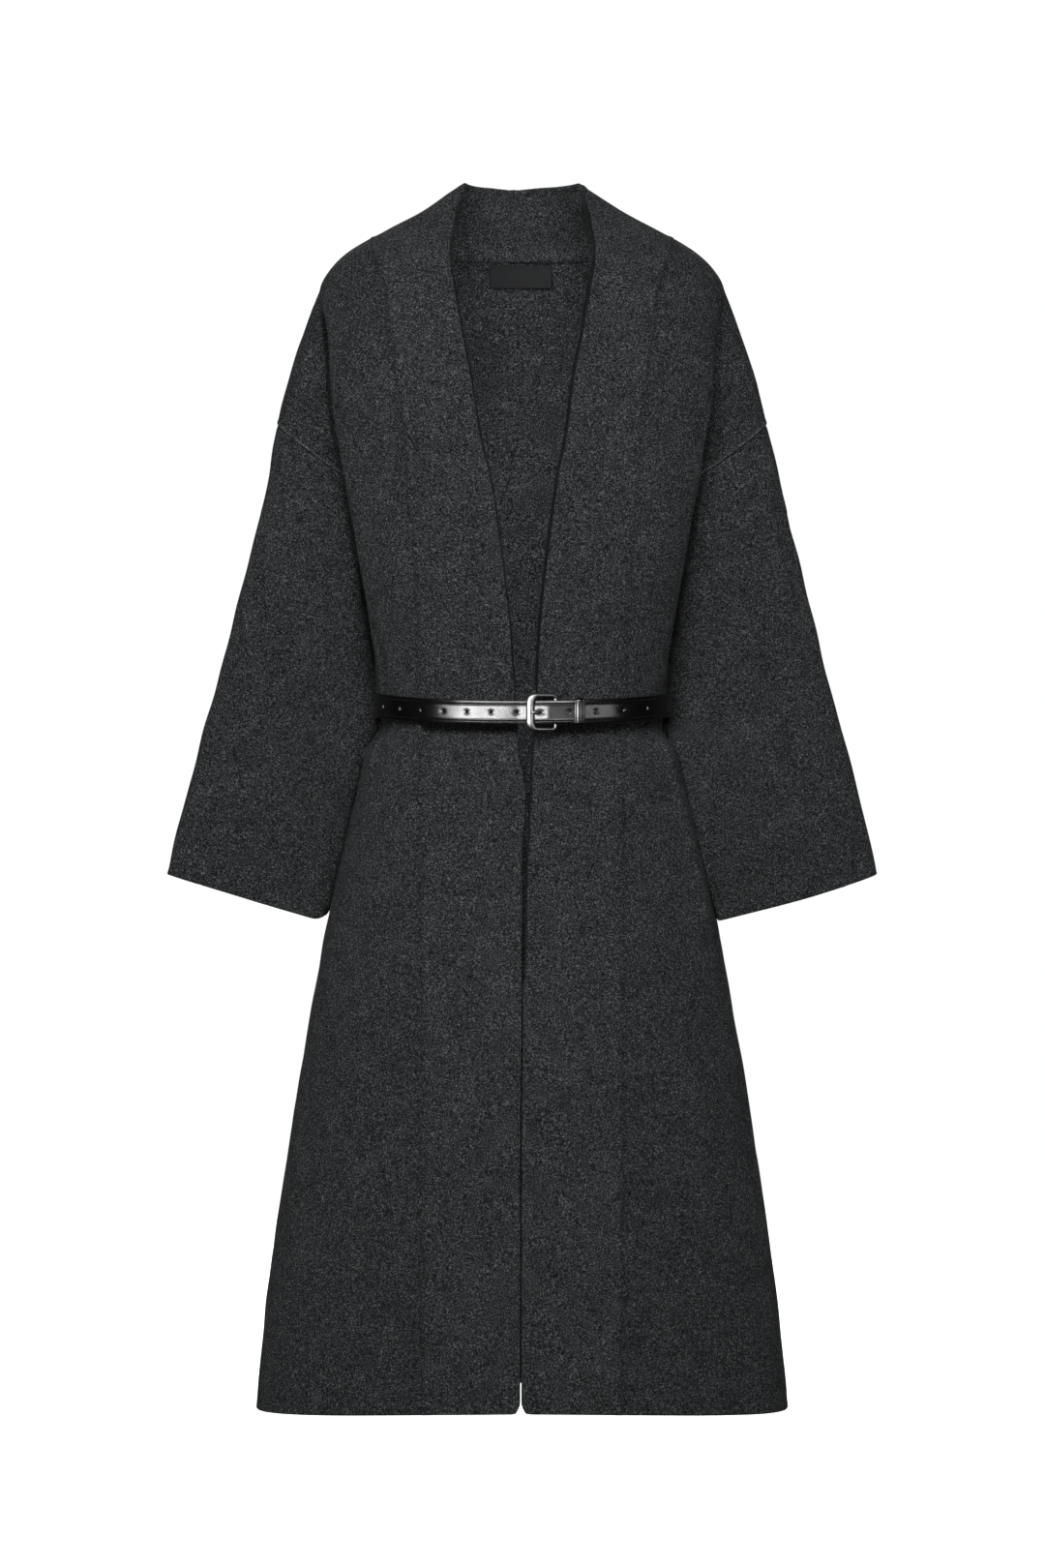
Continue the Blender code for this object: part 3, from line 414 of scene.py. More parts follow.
def knit_material(name, tone=1.0, sheen=0.02, lower=0.0, upper=0.0):
    m, t, s = new_material(name)
    coord = t.nodes.new("ShaderNodeTexCoord")
    sep = t.nodes.new("ShaderNodeSeparateXYZ")
    warp = t.nodes.new("ShaderNodeVectorMath")          # yarn is never quite straight
    warp.operation = "MULTIPLY_ADD"
    wob = t.nodes.new("ShaderNodeTexNoise")
    wob.inputs["Scale"].default_value = 160.0
    wob.inputs["Detail"].default_value = 2.0
    t.links.new(coord.outputs["Object"], wob.inputs["Vector"])
    t.links.new(wob.outputs["Color"], warp.inputs[0])
    warp.inputs[1].default_value = (0.0011, 0.0011, 0.0)
    t.links.new(coord.outputs["UV"], warp.inputs[2])
    t.links.new(warp.outputs[0], sep.inputs[0])
    u = maths(t, "DIVIDE", sep.outputs[0], WALE)
    v = maths(t, "DIVIDE", sep.outputs[1], COURSE)
    half = maths(t, "FRACT", u)
    lean = maths(t, "ABSOLUTE", maths(t, "SUBTRACT", half, 0.5))          # 0 in the middle of a wale
    leg = maths(t, "ABSOLUTE", maths(t, "SUBTRACT", lean, 0.25))          # 0 in the middle of a leg
    body = maths(t, "SUBTRACT", 1.0, maths(t, "POWER", maths(t, "MULTIPLY", leg, 4.0), 2.0))
    step = maths(t, "SINE", maths(t, "MULTIPLY", maths(t, "ADD", v, maths(t, "MULTIPLY", lean, 1.5)), 2 * math.pi))
    stitch = maths(t, "MULTIPLY", body, maths(t, "MULTIPLY_ADD", step, 0.3, 0.7))
    # rows of the drop shoulder run along the sleeve seam
    seam = t.nodes.new("ShaderNodeAttribute")
    seam.attribute_name = "seam_mm"
    rows = maths(t, "SINE", maths(t, "MULTIPLY", seam.outputs["Fac"], 2 * math.pi / 1.75))
    near = maths(t, "MULTIPLY", maths(t, "LESS_THAN", seam.outputs["Fac"], 70.0),
                 maths(t, "MAXIMUM", maths(t, "SUBTRACT", 1.0, maths(t, "DIVIDE", seam.outputs["Fac"], 70.0)), 0.0))
    rows = maths(t, "MULTIPLY", rows, near)
    fleck = noise(t, coord.outputs["Object"], 760.0, 1.5, 0.6)
    fibre = noise(t, coord.outputs["Object"], 1500.0, 2.0, 0.7, 0.8)
    patch = noise(t, coord.outputs["Object"], 210.0, 3.0, 0.7)
    cloud = noise(t, coord.outputs["Object"], 40.0, 3.0, 0.6)
    # melange: dark and pale fibres spun together
    tint = maths(t, "MULTIPLY_ADD", maths(t, "SUBTRACT", fleck, 0.5), 2.1, 0.48)
    tint = maths(t, "MULTIPLY_ADD", maths(t, "SUBTRACT", fibre, 0.5), 0.8, tint)
    tint = maths(t, "MULTIPLY_ADD", maths(t, "SUBTRACT", stitch, 0.5), 0.14, tint)
    tint = maths(t, "MULTIPLY_ADD", rows, 0.11, tint)
    tint = maths(t, "MULTIPLY_ADD", near, -0.035, tint)
    press = maths(t, "MAXIMUM", maths(t, "SUBTRACT", 1.0, maths(
        t, "DIVIDE", maths(t, "ABSOLUTE", maths(t, "SUBTRACT", seam.outputs["Fac"], 100.0)), 5.0)), 0.0)
    tint = maths(t, "MULTIPLY_ADD", press, -0.05, tint)
    place = t.nodes.new("ShaderNodeSeparateXYZ")
    t.links.new(coord.outputs["Object"], place.inputs[0])
    skirt = maths(t, "MINIMUM", maths(t, "MAXIMUM", maths(t, "MULTIPLY_ADD", place.outputs[2], -4.0, -1.9), 0.0), 1.0)
    tint = maths(t, "MULTIPLY_ADD", skirt, lower, tint)             # pieces cut along or across the knit differ a little
    crown = maths(t, "MINIMUM", maths(t, "MAXIMUM", maths(t, "MULTIPLY_ADD", place.outputs[2], 7.0, 1.45), 0.0), 1.0)
    tint = maths(t, "MULTIPLY_ADD", crown, upper, tint)             # painted shade: darker over the shoulders, to take back the light that falls on them from above
    ridge = maths(t, "MAXIMUM", maths(t, "SUBTRACT", 1.0, maths(
        t, "DIVIDE", maths(t, "ABSOLUTE", maths(t, "SUBTRACT", seam.outputs["Fac"], 2.2)), 2.0)), 0.0)
    tint = maths(t, "MULTIPLY_ADD", maths(t, "MULTIPLY", ridge, patch), 0.52, tint)      # painted highlight: the seam's raised ridge is coloured paler, as if lit from above
    tint = maths(t, "MULTIPLY_ADD", maths(t, "SUBTRACT", patch, 0.5), 0.34, tint)
    tint = maths(t, "MULTIPLY_ADD", maths(t, "SUBTRACT", cloud, 0.5), 0.20, tint)
    k = tone
    colour = ramp(t, tint, ((0.10, (0.0040 * k, 0.0046 * k, 0.0050 * k)), (0.34, (0.0135 * k, 0.0148 * k, 0.0158 * k)),
                            (0.52, (0.032 * k, 0.0345 * k, 0.0362 * k)), (0.72, (0.080 * k, 0.084 * k, 0.087 * k)),
                            (0.98, (0.21 * k, 0.216 * k, 0.22 * k))))
    t.links.new(colour, s.inputs["Base Color"])
    s.inputs["Roughness"].default_value = 0.95
    s.inputs["Specular IOR Level"].default_value = 0.10
    s.inputs["Sheen Weight"].default_value = sheen
    s.inputs["Sheen Roughness"].default_value = 0.5
    s.inputs["Sheen Tint"].default_value = (0.75, 0.78, 0.8, 1)
    low = bump(t, stitch, 0.55, 0.0006)
    low = bump(t, rows, 0.5, 0.0004, low)
    t.links.new(bump(t, fleck, 0.6, 0.0009, low), s.inputs["Normal"])
    return m


def leather_material(name):
    m, t, s = new_material(name)
    coord = t.nodes.new("ShaderNodeTexCoord")
    grain = t.nodes.new("ShaderNodeTexVoronoi")
    grain.feature = "DISTANCE_TO_EDGE"
    grain.inputs["Scale"].default_value = 900.0
    t.links.new(coord.outputs["Object"], grain.inputs["Vector"])
    pores = maths(t, "MINIMUM", maths(t, "MULTIPLY", grain.outputs["Distance"], 3.0), 1.0)
    waves = noise(t, coord.outputs["Object"], 90.0, 4.0, 0.55)
    wear = noise(t, coord.outputs["Object"], 45.0, 3.0, 0.6)
    t.links.new(ramp(t, wear, ((0.3, (0.0014, 0.0014, 0.0015)), (0.7, (0.0030, 0.0029, 0.0029)))), s.inputs["Base Color"])
    t.links.new(maths(t, "MULTIPLY_ADD", waves, 0.10, 0.16), s.inputs["Roughness"])
    s.inputs["Specular IOR Level"].default_value = 0.55
    s.inputs["Coat Weight"].default_value = 0.25
    s.inputs["Coat Roughness"].default_value = 0.16
    low = bump(t, pores, 0.06, 0.0002)
    t.links.new(bump(t, waves, 0.10, 0.0006, low), s.inputs["Normal"])
    return m


def metal_material(name):
    m, t, s = new_material(name)
    coord = t.nodes.new("ShaderNodeTexCoord")
    haze = noise(t, coord.outputs["Object"], 260.0, 4.0, 0.6)
    fine = noise(t, coord.outputs["Object"], 2200.0, 2.0, 0.6)
    t.links.new(ramp(t, haze, ((0.3, (0.20, 0.20, 0.198)), (0.7, (0.30, 0.30, 0.296)))), s.inputs["Base Color"])
    s.inputs["Metallic"].default_value = 1.0
    t.links.new(maths(t, "MULTIPLY_ADD", haze, 0.06, 0.27), s.inputs["Roughness"])
    t.links.new(bump(t, fine, 0.02, 0.0002), s.inputs["Normal"])
    return m


def woven_material(name, colour, pitch):
    m, t, s = new_material(name)
    coord = t.nodes.new("ShaderNodeTexCoord")
    sep = t.nodes.new("ShaderNodeSeparateXYZ")
    t.links.new(coord.outputs["UV"], sep.inputs[0])
    a = maths(t, "SINE", maths(t, "MULTIPLY", sep.outputs[0], 2 * math.pi / pitch))
    b = maths(t, "SINE", maths(t, "MULTIPLY", sep.outputs[1], 2 * math.pi / pitch))
    weave = maths(t, "MULTIPLY", a, b)
    soft = noise(t, coord.outputs["Object"], 500.0, 3.0, 0.6)
    tint = maths(t, "MULTIPLY_ADD", weave, 0.18, soft)
    lo, hi = tuple(0.7 * c for c in colour), tuple(1.35 * c for c in colour)
    t.links.new(ramp(t, tint, ((0.3, lo), (0.7, hi))), s.inputs["Base Color"])
    s.inputs["Roughness"].default_value = 0.55
    s.inputs["Specular IOR Level"].default_value = 0.2
    t.links.new(bump(t, weave, 0.5, 0.00015), s.inputs["Normal"])
    return m


knit_body = knit_material("knit_body", 0.93, lower=-0.014, upper=-0.038)
knit_band = knit_material("knit_band", 0.92, lower=0.026)
knit_sleeve = knit_material("knit_sleeve", 0.885)
knit_turned = knit_material("knit_turned", 0.52, 0.0)       # painted shade: a darker copy without sheen, for dark lines along the edge that turns in and along the collar's joins
leather = leather_material("leather_black")
metal = metal_material("polished_metal")
label_cloth = woven_material("label_woven", (0.0076, 0.0084, 0.0092), 0.0006)
raw_leather = woven_material("leather_raw_edge", (0.42, 0.41, 0.40), 0.0005)
thread = woven_material("stitch_thread", (0.012, 0.012, 0.012), 0.0004)


# ------------------------------------------------------------------ camera and light
CAMERA_AWAY, CAMERA_Z, FRAME_HEIGHT = 4.5, -0.51761, 1620 * 0.955e-3
cam = bpy.data.cameras.new("camera")
cam.sensor_width = 36.0
cam.lens = 36.0 * CAMERA_AWAY / FRAME_HEIGHT
cam_obj = bpy.data.objects.new("camera", cam)
cam_obj.location = (0.0005, -CAMERA_AWAY, CAMERA_Z)
cam_obj.rotation_euler = (math.pi / 2, 0, 0)
SCENE.collection.objects.link(cam_obj)
SCENE.camera = cam_obj
SCENE.view_settings.view_transform = "Standard"

world = bpy.data.worlds.new("studio")
SCENE.world = world
world.use_nodes = True
wt = world.node_tree
back_node = wt.nodes["Background"]
back_node.inputs["Color"].default_value = (1, 1, 1, 1)
back_node.inputs["Strength"].default_value = 0.095
white = wt.nodes.new("ShaderNodeBackground")
white.inputs["Color"].default_value = (1, 1, 1, 1)
white.inputs["Strength"].default_value = 1.02
path = wt.nodes.new("ShaderNodeLightPath")
pick = wt.nodes.new("ShaderNodeMixShader")
wt.links.new(path.outputs["Is Camera Ray"], pick.inputs[0])
wt.links.new(back_node.outputs[0], pick.inputs[1])
wt.links.new(white.outputs[0], pick.inputs[2])
dark = wt.nodes.new("ShaderNodeBackground")
dark.inputs["Color"].default_value = (1, 1, 1, 1)
dark.inputs["Strength"].default_value = 0.02
gloss = wt.nodes.new("ShaderNodeMixShader")
wt.links.new(path.outputs["Is Glossy Ray"], gloss.inputs[0])
wt.links.new(pick.outputs[0], gloss.inputs[1])
wt.links.new(dark.outputs[0], gloss.inputs[2])
wt.links.new(gloss.outputs[0], wt.nodes["World Output"].inputs["Surface"])


def area_light(name, place, aim, size, power, cloth=True, gloss=True):
    data = bpy.data.lights.new(name, "AREA")
    data.shape = "RECTANGLE"
    data.size, data.size_y = size
    data.energy = power
    obj = bpy.data.objects.new(name, data)
    obj.location = place
    obj.rotation_euler = (Vector(aim) - Vector(place)).to_track_quat("-Z", "Y").to_euler()
    obj.visible_camera = False
    obj.visible_diffuse = cloth
    obj.visible_glossy = gloss
    SCENE.collection.objects.link(obj)
    return obj


area_light("bank", (-0.18, -2.4, 0.68), (0, 0, -0.25), (2.4, 0.9), 66.5)
area_light("strip_front", (-0.62, -4.1, -0.38), (0, 0, -0.42), (0.85, 0.45), 36, False)
area_light("strip_left", (-1.55, -3.8, -0.36), (0, 0, -0.45), (1.05, 0.45), 46, False)
area_light("strip_far_left_a", (-2.157, -3.451, -0.36), (0, 0, -0.45), (0.35, 0.45), 9.0, False)
area_light("strip_far_left_b", (-2.449, -3.250, -0.36), (0, 0, -0.45), (0.35, 0.45), 4.2, False)
area_light("strip_far_left_c", (-2.723, -3.025, -0.36), (0, 0, -0.45), (0.35, 0.45), 1.5, False)
area_light("strip_near_right", (0.85, -4.0, -0.36), (0, 0, -0.45), (0.9, 0.45), 3.5, False)
area_light("strip_right", (2.7, -3.3, -0.36), (0, 0, -0.45), (2.5, 0.45), 14, False)
area_light("side_left", (-3.2, 0.5, -0.6), (0, 0, -0.6), (1.6, 1.6), 15, True, False)
area_light("side_right", (3.2, 0.5, -0.6), (0, 0, -0.6), (1.6, 1.6), 15, True, False)
area_light("behind", (0, 3.4, 1.0), (0, 0, -0.5), (2.8, 2.2), 95)
area_light("inside", (0, -0.062, -0.37), (0, 0.1, -0.37), (0.12, 0.52), 0.285)
area_light("inside_top", (0, -0.045, -0.03), (0, 0.1, 0.015), (0.19, 0.07), 0.032)
area_light("collar", (-0.015, -0.035, 0.0), (-0.075, 0.02, 0.015), (0.03, 0.10), 0.0145)

floor_mesh = bpy.data.meshes.new("floor")
bm = bmesh.new()
bmesh.ops.create_grid(bm, x_segments=8, y_segments=8, size=6.0)
bm.to_mesh(floor_mesh)
bm.free()
floor_mat, ft, fs = new_material("pale_floor")
fs.inputs["Base Color"].default_value = (0.82, 0.82, 0.82, 1)
fs.inputs["Roughness"].default_value = 0.9
fs.inputs["Emission Color"].default_value = (1, 1, 1, 1)
fs.inputs["Emission Strength"].default_value = 0.92
floor_mesh.materials.append(floor_mat)
floor = bpy.data.objects.new("floor", floor_mesh)
floor.location = (0, 0, -1.30)
floor.visible_diffuse = False            # its glow is for a white backdrop, not for lighting the cloth from below
floor.visible_glossy = False
SCENE.collection.objects.link(floor)


# ------------------------------------------------------------------ body panels
def meet(p, y, most):
    """The top row of a panel meets its neighbour along the shoulder line."""
    gap = y - p[0, :, 1]
    gap = gap * smooth((most - np.abs(gap)) / 3.0)
    away = np.concatenate((np.zeros((1, p.shape[1])), np.cumsum(np.linalg.norm(np.diff(p, axis=0), axis=2), axis=0)))
    p = p.copy()
    p[..., 1] += gap * smooth(1 - away / 18.0)
    return p


def fold_marks(x, z):
    """Creases that the front shows, as height off the smooth form; x is the wearer's side, left positive."""
    d = 0.0
    for x0, z0, x1, z1, wide, deep in (
            (-139.0, -386.0, -135.0, -425.0, 2.6, -5.0),
            (-135.0, -458.0, -145.5, -514.0, 3.0, -5.0),
            (-96.5, -461.0, -98.0, -500.0, 2.4, -2.0),
            (124.0, -463.0, 131.0, -520.0, 4.0, -2.2)):
        t = (z - z0) / (z1 - z0)
        d = d + deep * bell((x - mix(x0, x1, t)) / wide) * smooth((t + 0.25) / 0.35) * smooth((1.3 - t) / 0.6)
    return d


def waist(z):
    """The belt presses the cloth in, and the cloth swells a little just past its edges."""
    return (-2.0 * bell((z + 450) / 11.0) - 2.4 * bell((z + 464) / 7.5) + 0.9 * bell((z + 423) / 13.0) + 2.0 * bell((z + 487) / 15.0))


def pinch_below(x, z):
    """Under the belt's lower edge the cloth stays drawn in for a while; one upright fold there steps forward."""
    below = np.where(z > -464, bell((z + 464) / 8.0), bell((z + 464) / 22.0))
    deep = np.interp(x, (-140, -101, -97, 60, 100, 140), (1.0, 1.5, 13.0, 13.0, 8.0, 1.0))
    return -deep * below


def gathers(around, z, size):
    """Small upright folds that start at the belt and die out above and below it."""
    fade = np.where(z > -448, bell((z + 448) / 60.0), bell((z + 448) / 95.0))
    w = np.sin(around / 6.1 + 1.1 * np.sin(around / 23.0)) + 0.6 * np.sin(around / 10.3 + 2.0)
    return size * w * fade


def fan_row(q, face, start_x, start_z, nb, ns):
    end_z = mix(SHOULDER_FOLD_Z, ARM_Z, q)
    a = np.linspace(0, 1, 220)
    z = mix(start_z, end_z, a)
    t0 = theta_at(start_x, start_z)
    broad = on_body(mix(t0, math.pi / 2, a), z, face)
    p0, p1 = broad[-1], armhole(math.pi * q, face)
    s = smooth(q / 0.2)
    d0 = mix(np.array((54.0, 0, -128.0)), np.array((-90.0, 62.0, -6.0)) if face < 0 else np.array((-20.0, -44.0, -6.0)), s)
    d1 = mix(np.array((26.0, 0, -128.0)), SLEEVE_AXIS * 62.0, s)
    d0 = mix(d0, FOLD_IN * (1, -face, 1), smooth((q - 0.6) / 0.35))
    d1 = mix(d1, HOLLOW_END * (1, -face, 1), smooth((q - 0.75) / 0.25))
    side = hermite(p0, d0, p1, d1, np.linspace(0, 1, 120))
    return np.concatenate((resample(broad, nb), side_points(side, ns + 1)[1:]))


def level_row(z, face, start_x, nb, ns):
    half, hollow = section("half", z), max(float(section("hollow", z)), 0.0)
    reach, fold, strength = side_values(z, face)
    t0 = theta_at(start_x, z)
    a = np.linspace(0, 1, 220)
    tf, tp = mix(t0, math.pi / 2, a), mix(t0, math.acos(min(fold / reach, 1)), a)
    zz = np.full_like(a, z)
    pf = np.stack((half * np.sin(tf) ** (2 / POWER), face * (fold + (reach - fold) * np.cos(tf)), zz), axis=1)
    pp = np.stack((half * np.sin(tp) ** (2 / POWER), face * reach * np.cos(tp), zz), axis=1)
    broad = mix(pp, pf, strength)
    c = np.linspace(0, 1, 120)
    yp = fold * (1 - c)
    plain = np.stack((half * (1 - (yp / reach) ** 2) ** (1 / POWER), face * yp, np.full_like(c, z)), axis=1)
    h = hermite(np.array((half, face * fold, z)), FOLD_IN * (1, -face, 1),
                np.array((half - hollow, 0, z)), HOLLOW_END * (1, -face, 1), c)
    side = mix(plain, h, strength)
    return np.concatenate((resample(broad, nb), side_points(side, ns + 1)[1:]))


FAN_ROWS, LEVEL_ROWS = 66, 202
FAN_Q = np.linspace(0, 1, FAN_ROWS) ** 1.25
LEVEL_Z = np.linspace(ARM_Z, HEM_Z + 1.5, LEVEL_ROWS)[1:]


def hem_drop(p):
    half = section("half", p[..., 2])
    fall = HEM_DROP * np.minimum(np.abs(p[..., 0]) / half, 1) ** 2
    p[..., 2] = p[..., 2] - fall * smooth((-960 - p[..., 2]) / 164.0)
    return p


def seam_welt(p, column_distance):
    """A low rounded ridge beside the sleeve seam."""
    row = np.arange(p.shape[0])[:, None]
    return 2.2 * bell((column_distance - 2.3) / 1.8) * mix(0.25, 1.0, smooth((row - 3) / 14.0))


def armhole_distance(p, fan):
    """Distance of every point from the row's own end, for the rows that end at the sleeve seam."""
    step = np.linalg.norm(np.diff(p, axis=1), axis=2)
    back = np.concatenate((np.cumsum(step[:, ::-1], axis=1)[:, ::-1], np.zeros((p.shape[0], 1))), axis=1)
    back[fan:] = 1e3
    return back


def crease(p, nb, n, depth_by_row):
    """Behind the fold the cloth dips in before it goes on to the sleeve."""
    step = np.linalg.norm(np.diff(p, axis=1), axis=2)
    run = np.concatenate((np.zeros((p.shape[0], 1)), np.cumsum(step, axis=1)), axis=1)
    d = run - run[:, nb - 1:nb]
    return p - n * (depth_by_row[:, None] * bell((d - 9.0) / 6.0))[..., None]


def finish_panel(p, nb):
    p = relax(p, 3)
    keep = p[:, nb - 3: nb + 3].copy()
    for _ in range(2):                              # round the fold a little
        keep[:, 1:-1] = mix(keep[:, 1:-1], (keep[:, 2:] + keep[:, :-2]) / 2, 0.4)
    p[:, nb - 3: nb + 3] = keep
    return p


def fold_edge(p, nb):
    """The fold's outermost line, as heights and reaches to look up by height."""
    part = p[:, nb - 5: nb + 3]
    k = part[..., 0].argmax(axis=1)
    r = np.arange(len(p))
    order = np.argsort(part[r, k, 2])
    return part[r, k, 2][order], part[r, k, 0][order]


def tuck(p, nb, gain, soft):
    """The front lies over the side: a lip along the fold, a narrow gap behind it and a soft rise beyond."""
    z, x = p[..., 2], p[..., 0]
    step = np.linalg.norm(np.diff(p, axis=1), axis=2)
    run = np.concatenate((np.zeros((p.shape[0], 1)), np.cumsum(step, axis=1)), axis=1)
    d = run - run[:, nb - 1:nb]
    fz, fx = fold_edge(p, nb)
    dx = x - np.interp(z, fz, fx)
    far = armhole_distance(p, FAN_ROWS)
    gate = smooth((-36 - z) / 20.0) * mix(1.0, mix(0.3, 1.0, smooth((-85 - z) / 90.0)), soft)
    lip = 6.0 * bell(np.minimum(d, 0) / 15.0) * bell(np.maximum(d, 0) / 4.0) * smooth((z + 440) / 90.0)
    behind = np.arange(p.shape[1])[None, :] > nb + 2
    rise = mix(10.0, 3.5 - 2.5 * soft, smooth((-105 - z) / 75.0)) * smooth((dx + 1.0) / 9.0) * smooth((far - 4.0) / 24.0)
    gap = 4.5 * gain * bell((dx - 0.6) / (1.9 * gain))
    q = p.copy()
    q[..., 1] += gate * (-lip + np.where(behind, gap - rise, 0.0) * smooth((z + 250) / 25.0))
    return q


def out_from(p, n, face):
    i, j = int(p.shape[0] * 0.6), 2
    return n if n[i, j, 1] * face > 0 else -n


def front_grid(gain, soft):
    nb, ns = 46, 38
    rows = []
    for q in FAN_Q:
        z = mix(NECK_SIDE_Z, ARM_Z, q)
        x = min(float(band("seam", z)), float(section("half", z)))
        rows.append(fan_row(q, -1, x, z, nb, ns))
    for z in LEVEL_Z:
        rows.append(level_row(z, -1, float(band("seam", z)), nb, ns))
    p = finish_panel(np.array(rows), nb)
    row = np.arange(p.shape[0])
    n = out_from(p, normals(p), -1)
    deep = 2.0 * smooth((row - 8) / 26.0) * smooth((FAN_ROWS + 40 - row) / 40.0)
    return tuck(crease(p, nb, n, deep), nb, gain, soft), nb


def dress(p, n, face, side):
    """Fold marks, gathers and unevenness on a body panel; side is +1 on the wearer's left."""
    x, z = p[..., 0] * side, p[..., 2]
    far = armhole_distance(p, FAN_ROWS)
    d = 0.55 * ripple(p[..., 0] * side + 40 * p[..., 1] / 100, z + 1000 * (face > 0)) * smooth(far / 25.0)
    d = d + waist(z)
    if face < 0:
        d = d + fold_marks(x, z) + gathers(x + 300, z, 0.25) + pinch_below(x, z)
    else:
        d = d + gathers(x, z, 1.3)
    d = d + seam_welt(p, far)
    return p + n * d[..., None], far


pieces = {}
for side, s in (("left", 1), ("right", -1)):
    front, nb_front = front_grid(*((1.0, 1.0) if s > 0 else (1.3, 0.0)))
    base_n = out_from(front, normals(front), -1)
    p, far = dress(front, base_n, -1, s)
    p = meet(p, 0.6, 24.0)
    if s > 0:                                       # on this side the skirt stays flat right up to the sleeve
        r = p[..., 0] / section("half", p[..., 2])
        p[..., 1] -= (15.0 * bell((r - 0.97) / 0.055) * smooth(-p[..., 1] / 18.0)
                      * smooth((-462 - p[..., 2]) / 22.0) * smooth((p[..., 2] + 700) / 80.0))
    along = np.concatenate((np.zeros((p.shape[0], 1)), np.cumsum(np.linalg.norm(np.diff(p, axis=1), axis=2), axis=1)), axis=1)
    far = np.where((along < 30.0) & (far > 90.0), 100.0 + along, far)
    n = out_from(p, normals(p), -1)
    p = hem_drop(p.copy())
    pieces["front_" + side] = cloth("coat_front_" + side, p, n, knit_body,
                                    {"top": 0.7, "left": (1.2, 0.8), "right": (1.1, 0.8), "bottom": 1.5}, mirror=s < 0, seam=far)


def neck_point(t):
    x = NECK_SIDE_X * math.sin(t * math.pi / 2)
    return x, mix(NECK_BACK_Z, NECK_SIDE_Z, (x / NECK_SIDE_X) ** 3)


def back_grid():
    """Half of the back; the middle columns follow the neck seam, the rest the shoulder."""
    nk, nb, ns = 32, 22, 28
    rows = []
    for q in FAN_Q:
        t = np.linspace(0, 1, 120)
        x0 = NECK_SIDE_X * np.sin(t * math.pi / 2)
        z0 = mix(NECK_BACK_Z, NECK_SIDE_Z, (x0 / NECK_SIDE_X) ** 3)
        x = mix(x0, 120.0 * t, smooth(q))
        z = z0 + mix(mix(NECK_BACK_Z, ARM_Z, q), mix(NECK_SIDE_Z, ARM_Z, q), t**3) - mix(NECK_BACK_Z, NECK_SIDE_Z, t**3)
        x[-1] = mix(float(section("half", NECK_SIDE_Z)), 120.0, float(smooth(q)))
        z[-1] = mix(NECK_SIDE_Z, ARM_Z, q)
        neck = on_body(theta_at(np.minimum(x, section("half", z)), z), z, 1)
        row = fan_row(q, 1, float(min(x[-1], section("half", z[-1]))), z[-1], nb, ns)
        rows.append(np.concatenate((resample(neck, nk + 1)[:-1], row)))
    for z in LEVEL_Z:
        half = float(section("half", z))
        x1 = min(120.0, 0.7 * half)
        x = np.linspace(0, x1, 120)
        zz = np.full_like(x, z)
        strength = side_values(z, 1)[2]
        t0 = theta_at(x, zz)
        neck = on_body(t0, zz, 1)
        row = level_row(z, 1, x1, nb, ns)
        rows.append(np.concatenate((resample(neck, nk + 1)[:-1], row)))
    half_grid = np.array(rows)
    mirror = half_grid[:, :0:-1] * np.array((-1, 1, 1))
    whole = np.concatenate((mirror, half_grid), axis=1)
    whole = relax(whole, 4)
    return whole, nk + nb, mirror.shape[1]


back, fold_col, middle = back_grid()
for edge in (slice(middle + fold_col - 4, middle + fold_col + 4), slice(middle - fold_col - 3, middle - fold_col + 5)):
    part = back[:, edge].copy()
    for _ in range(6):
        part[:, 1:-1] = mix(part[:, 1:-1], (part[:, 2:] + part[:, :-2]) / 2, 0.5)
    back[:, edge] = part
bn = normals(back)
bn = bn if bn[150, middle, 1] > 0 else -bn


def dress_back(p, n):
    x, z = p[..., 0], p[..., 2]
    far = np.minimum(armhole_distance(p, FAN_ROWS), armhole_distance(p[:, ::-1], FAN_ROWS)[:, ::-1])
    d = 0.6 * ripple(x, z + 1700) * smooth(far / 25.0) + waist(z) + gathers(x, z, 1.2) + seam_welt(p, far)
    return p + n * d[..., None], far


p, far = dress_back(back, bn)
p = meet(p, -0.2, 10.0)
n = normals(p)
n = n if n[150, middle, 1] > 0 else -n
pieces["back"] = cloth("coat_back", hem_drop(p.copy()), n, knit_body,
                       {"top": (2.0, 0.8), "left": (1.3, 0.9), "right": (1.3, 0.9), "bottom": 1.5}, seam=far)


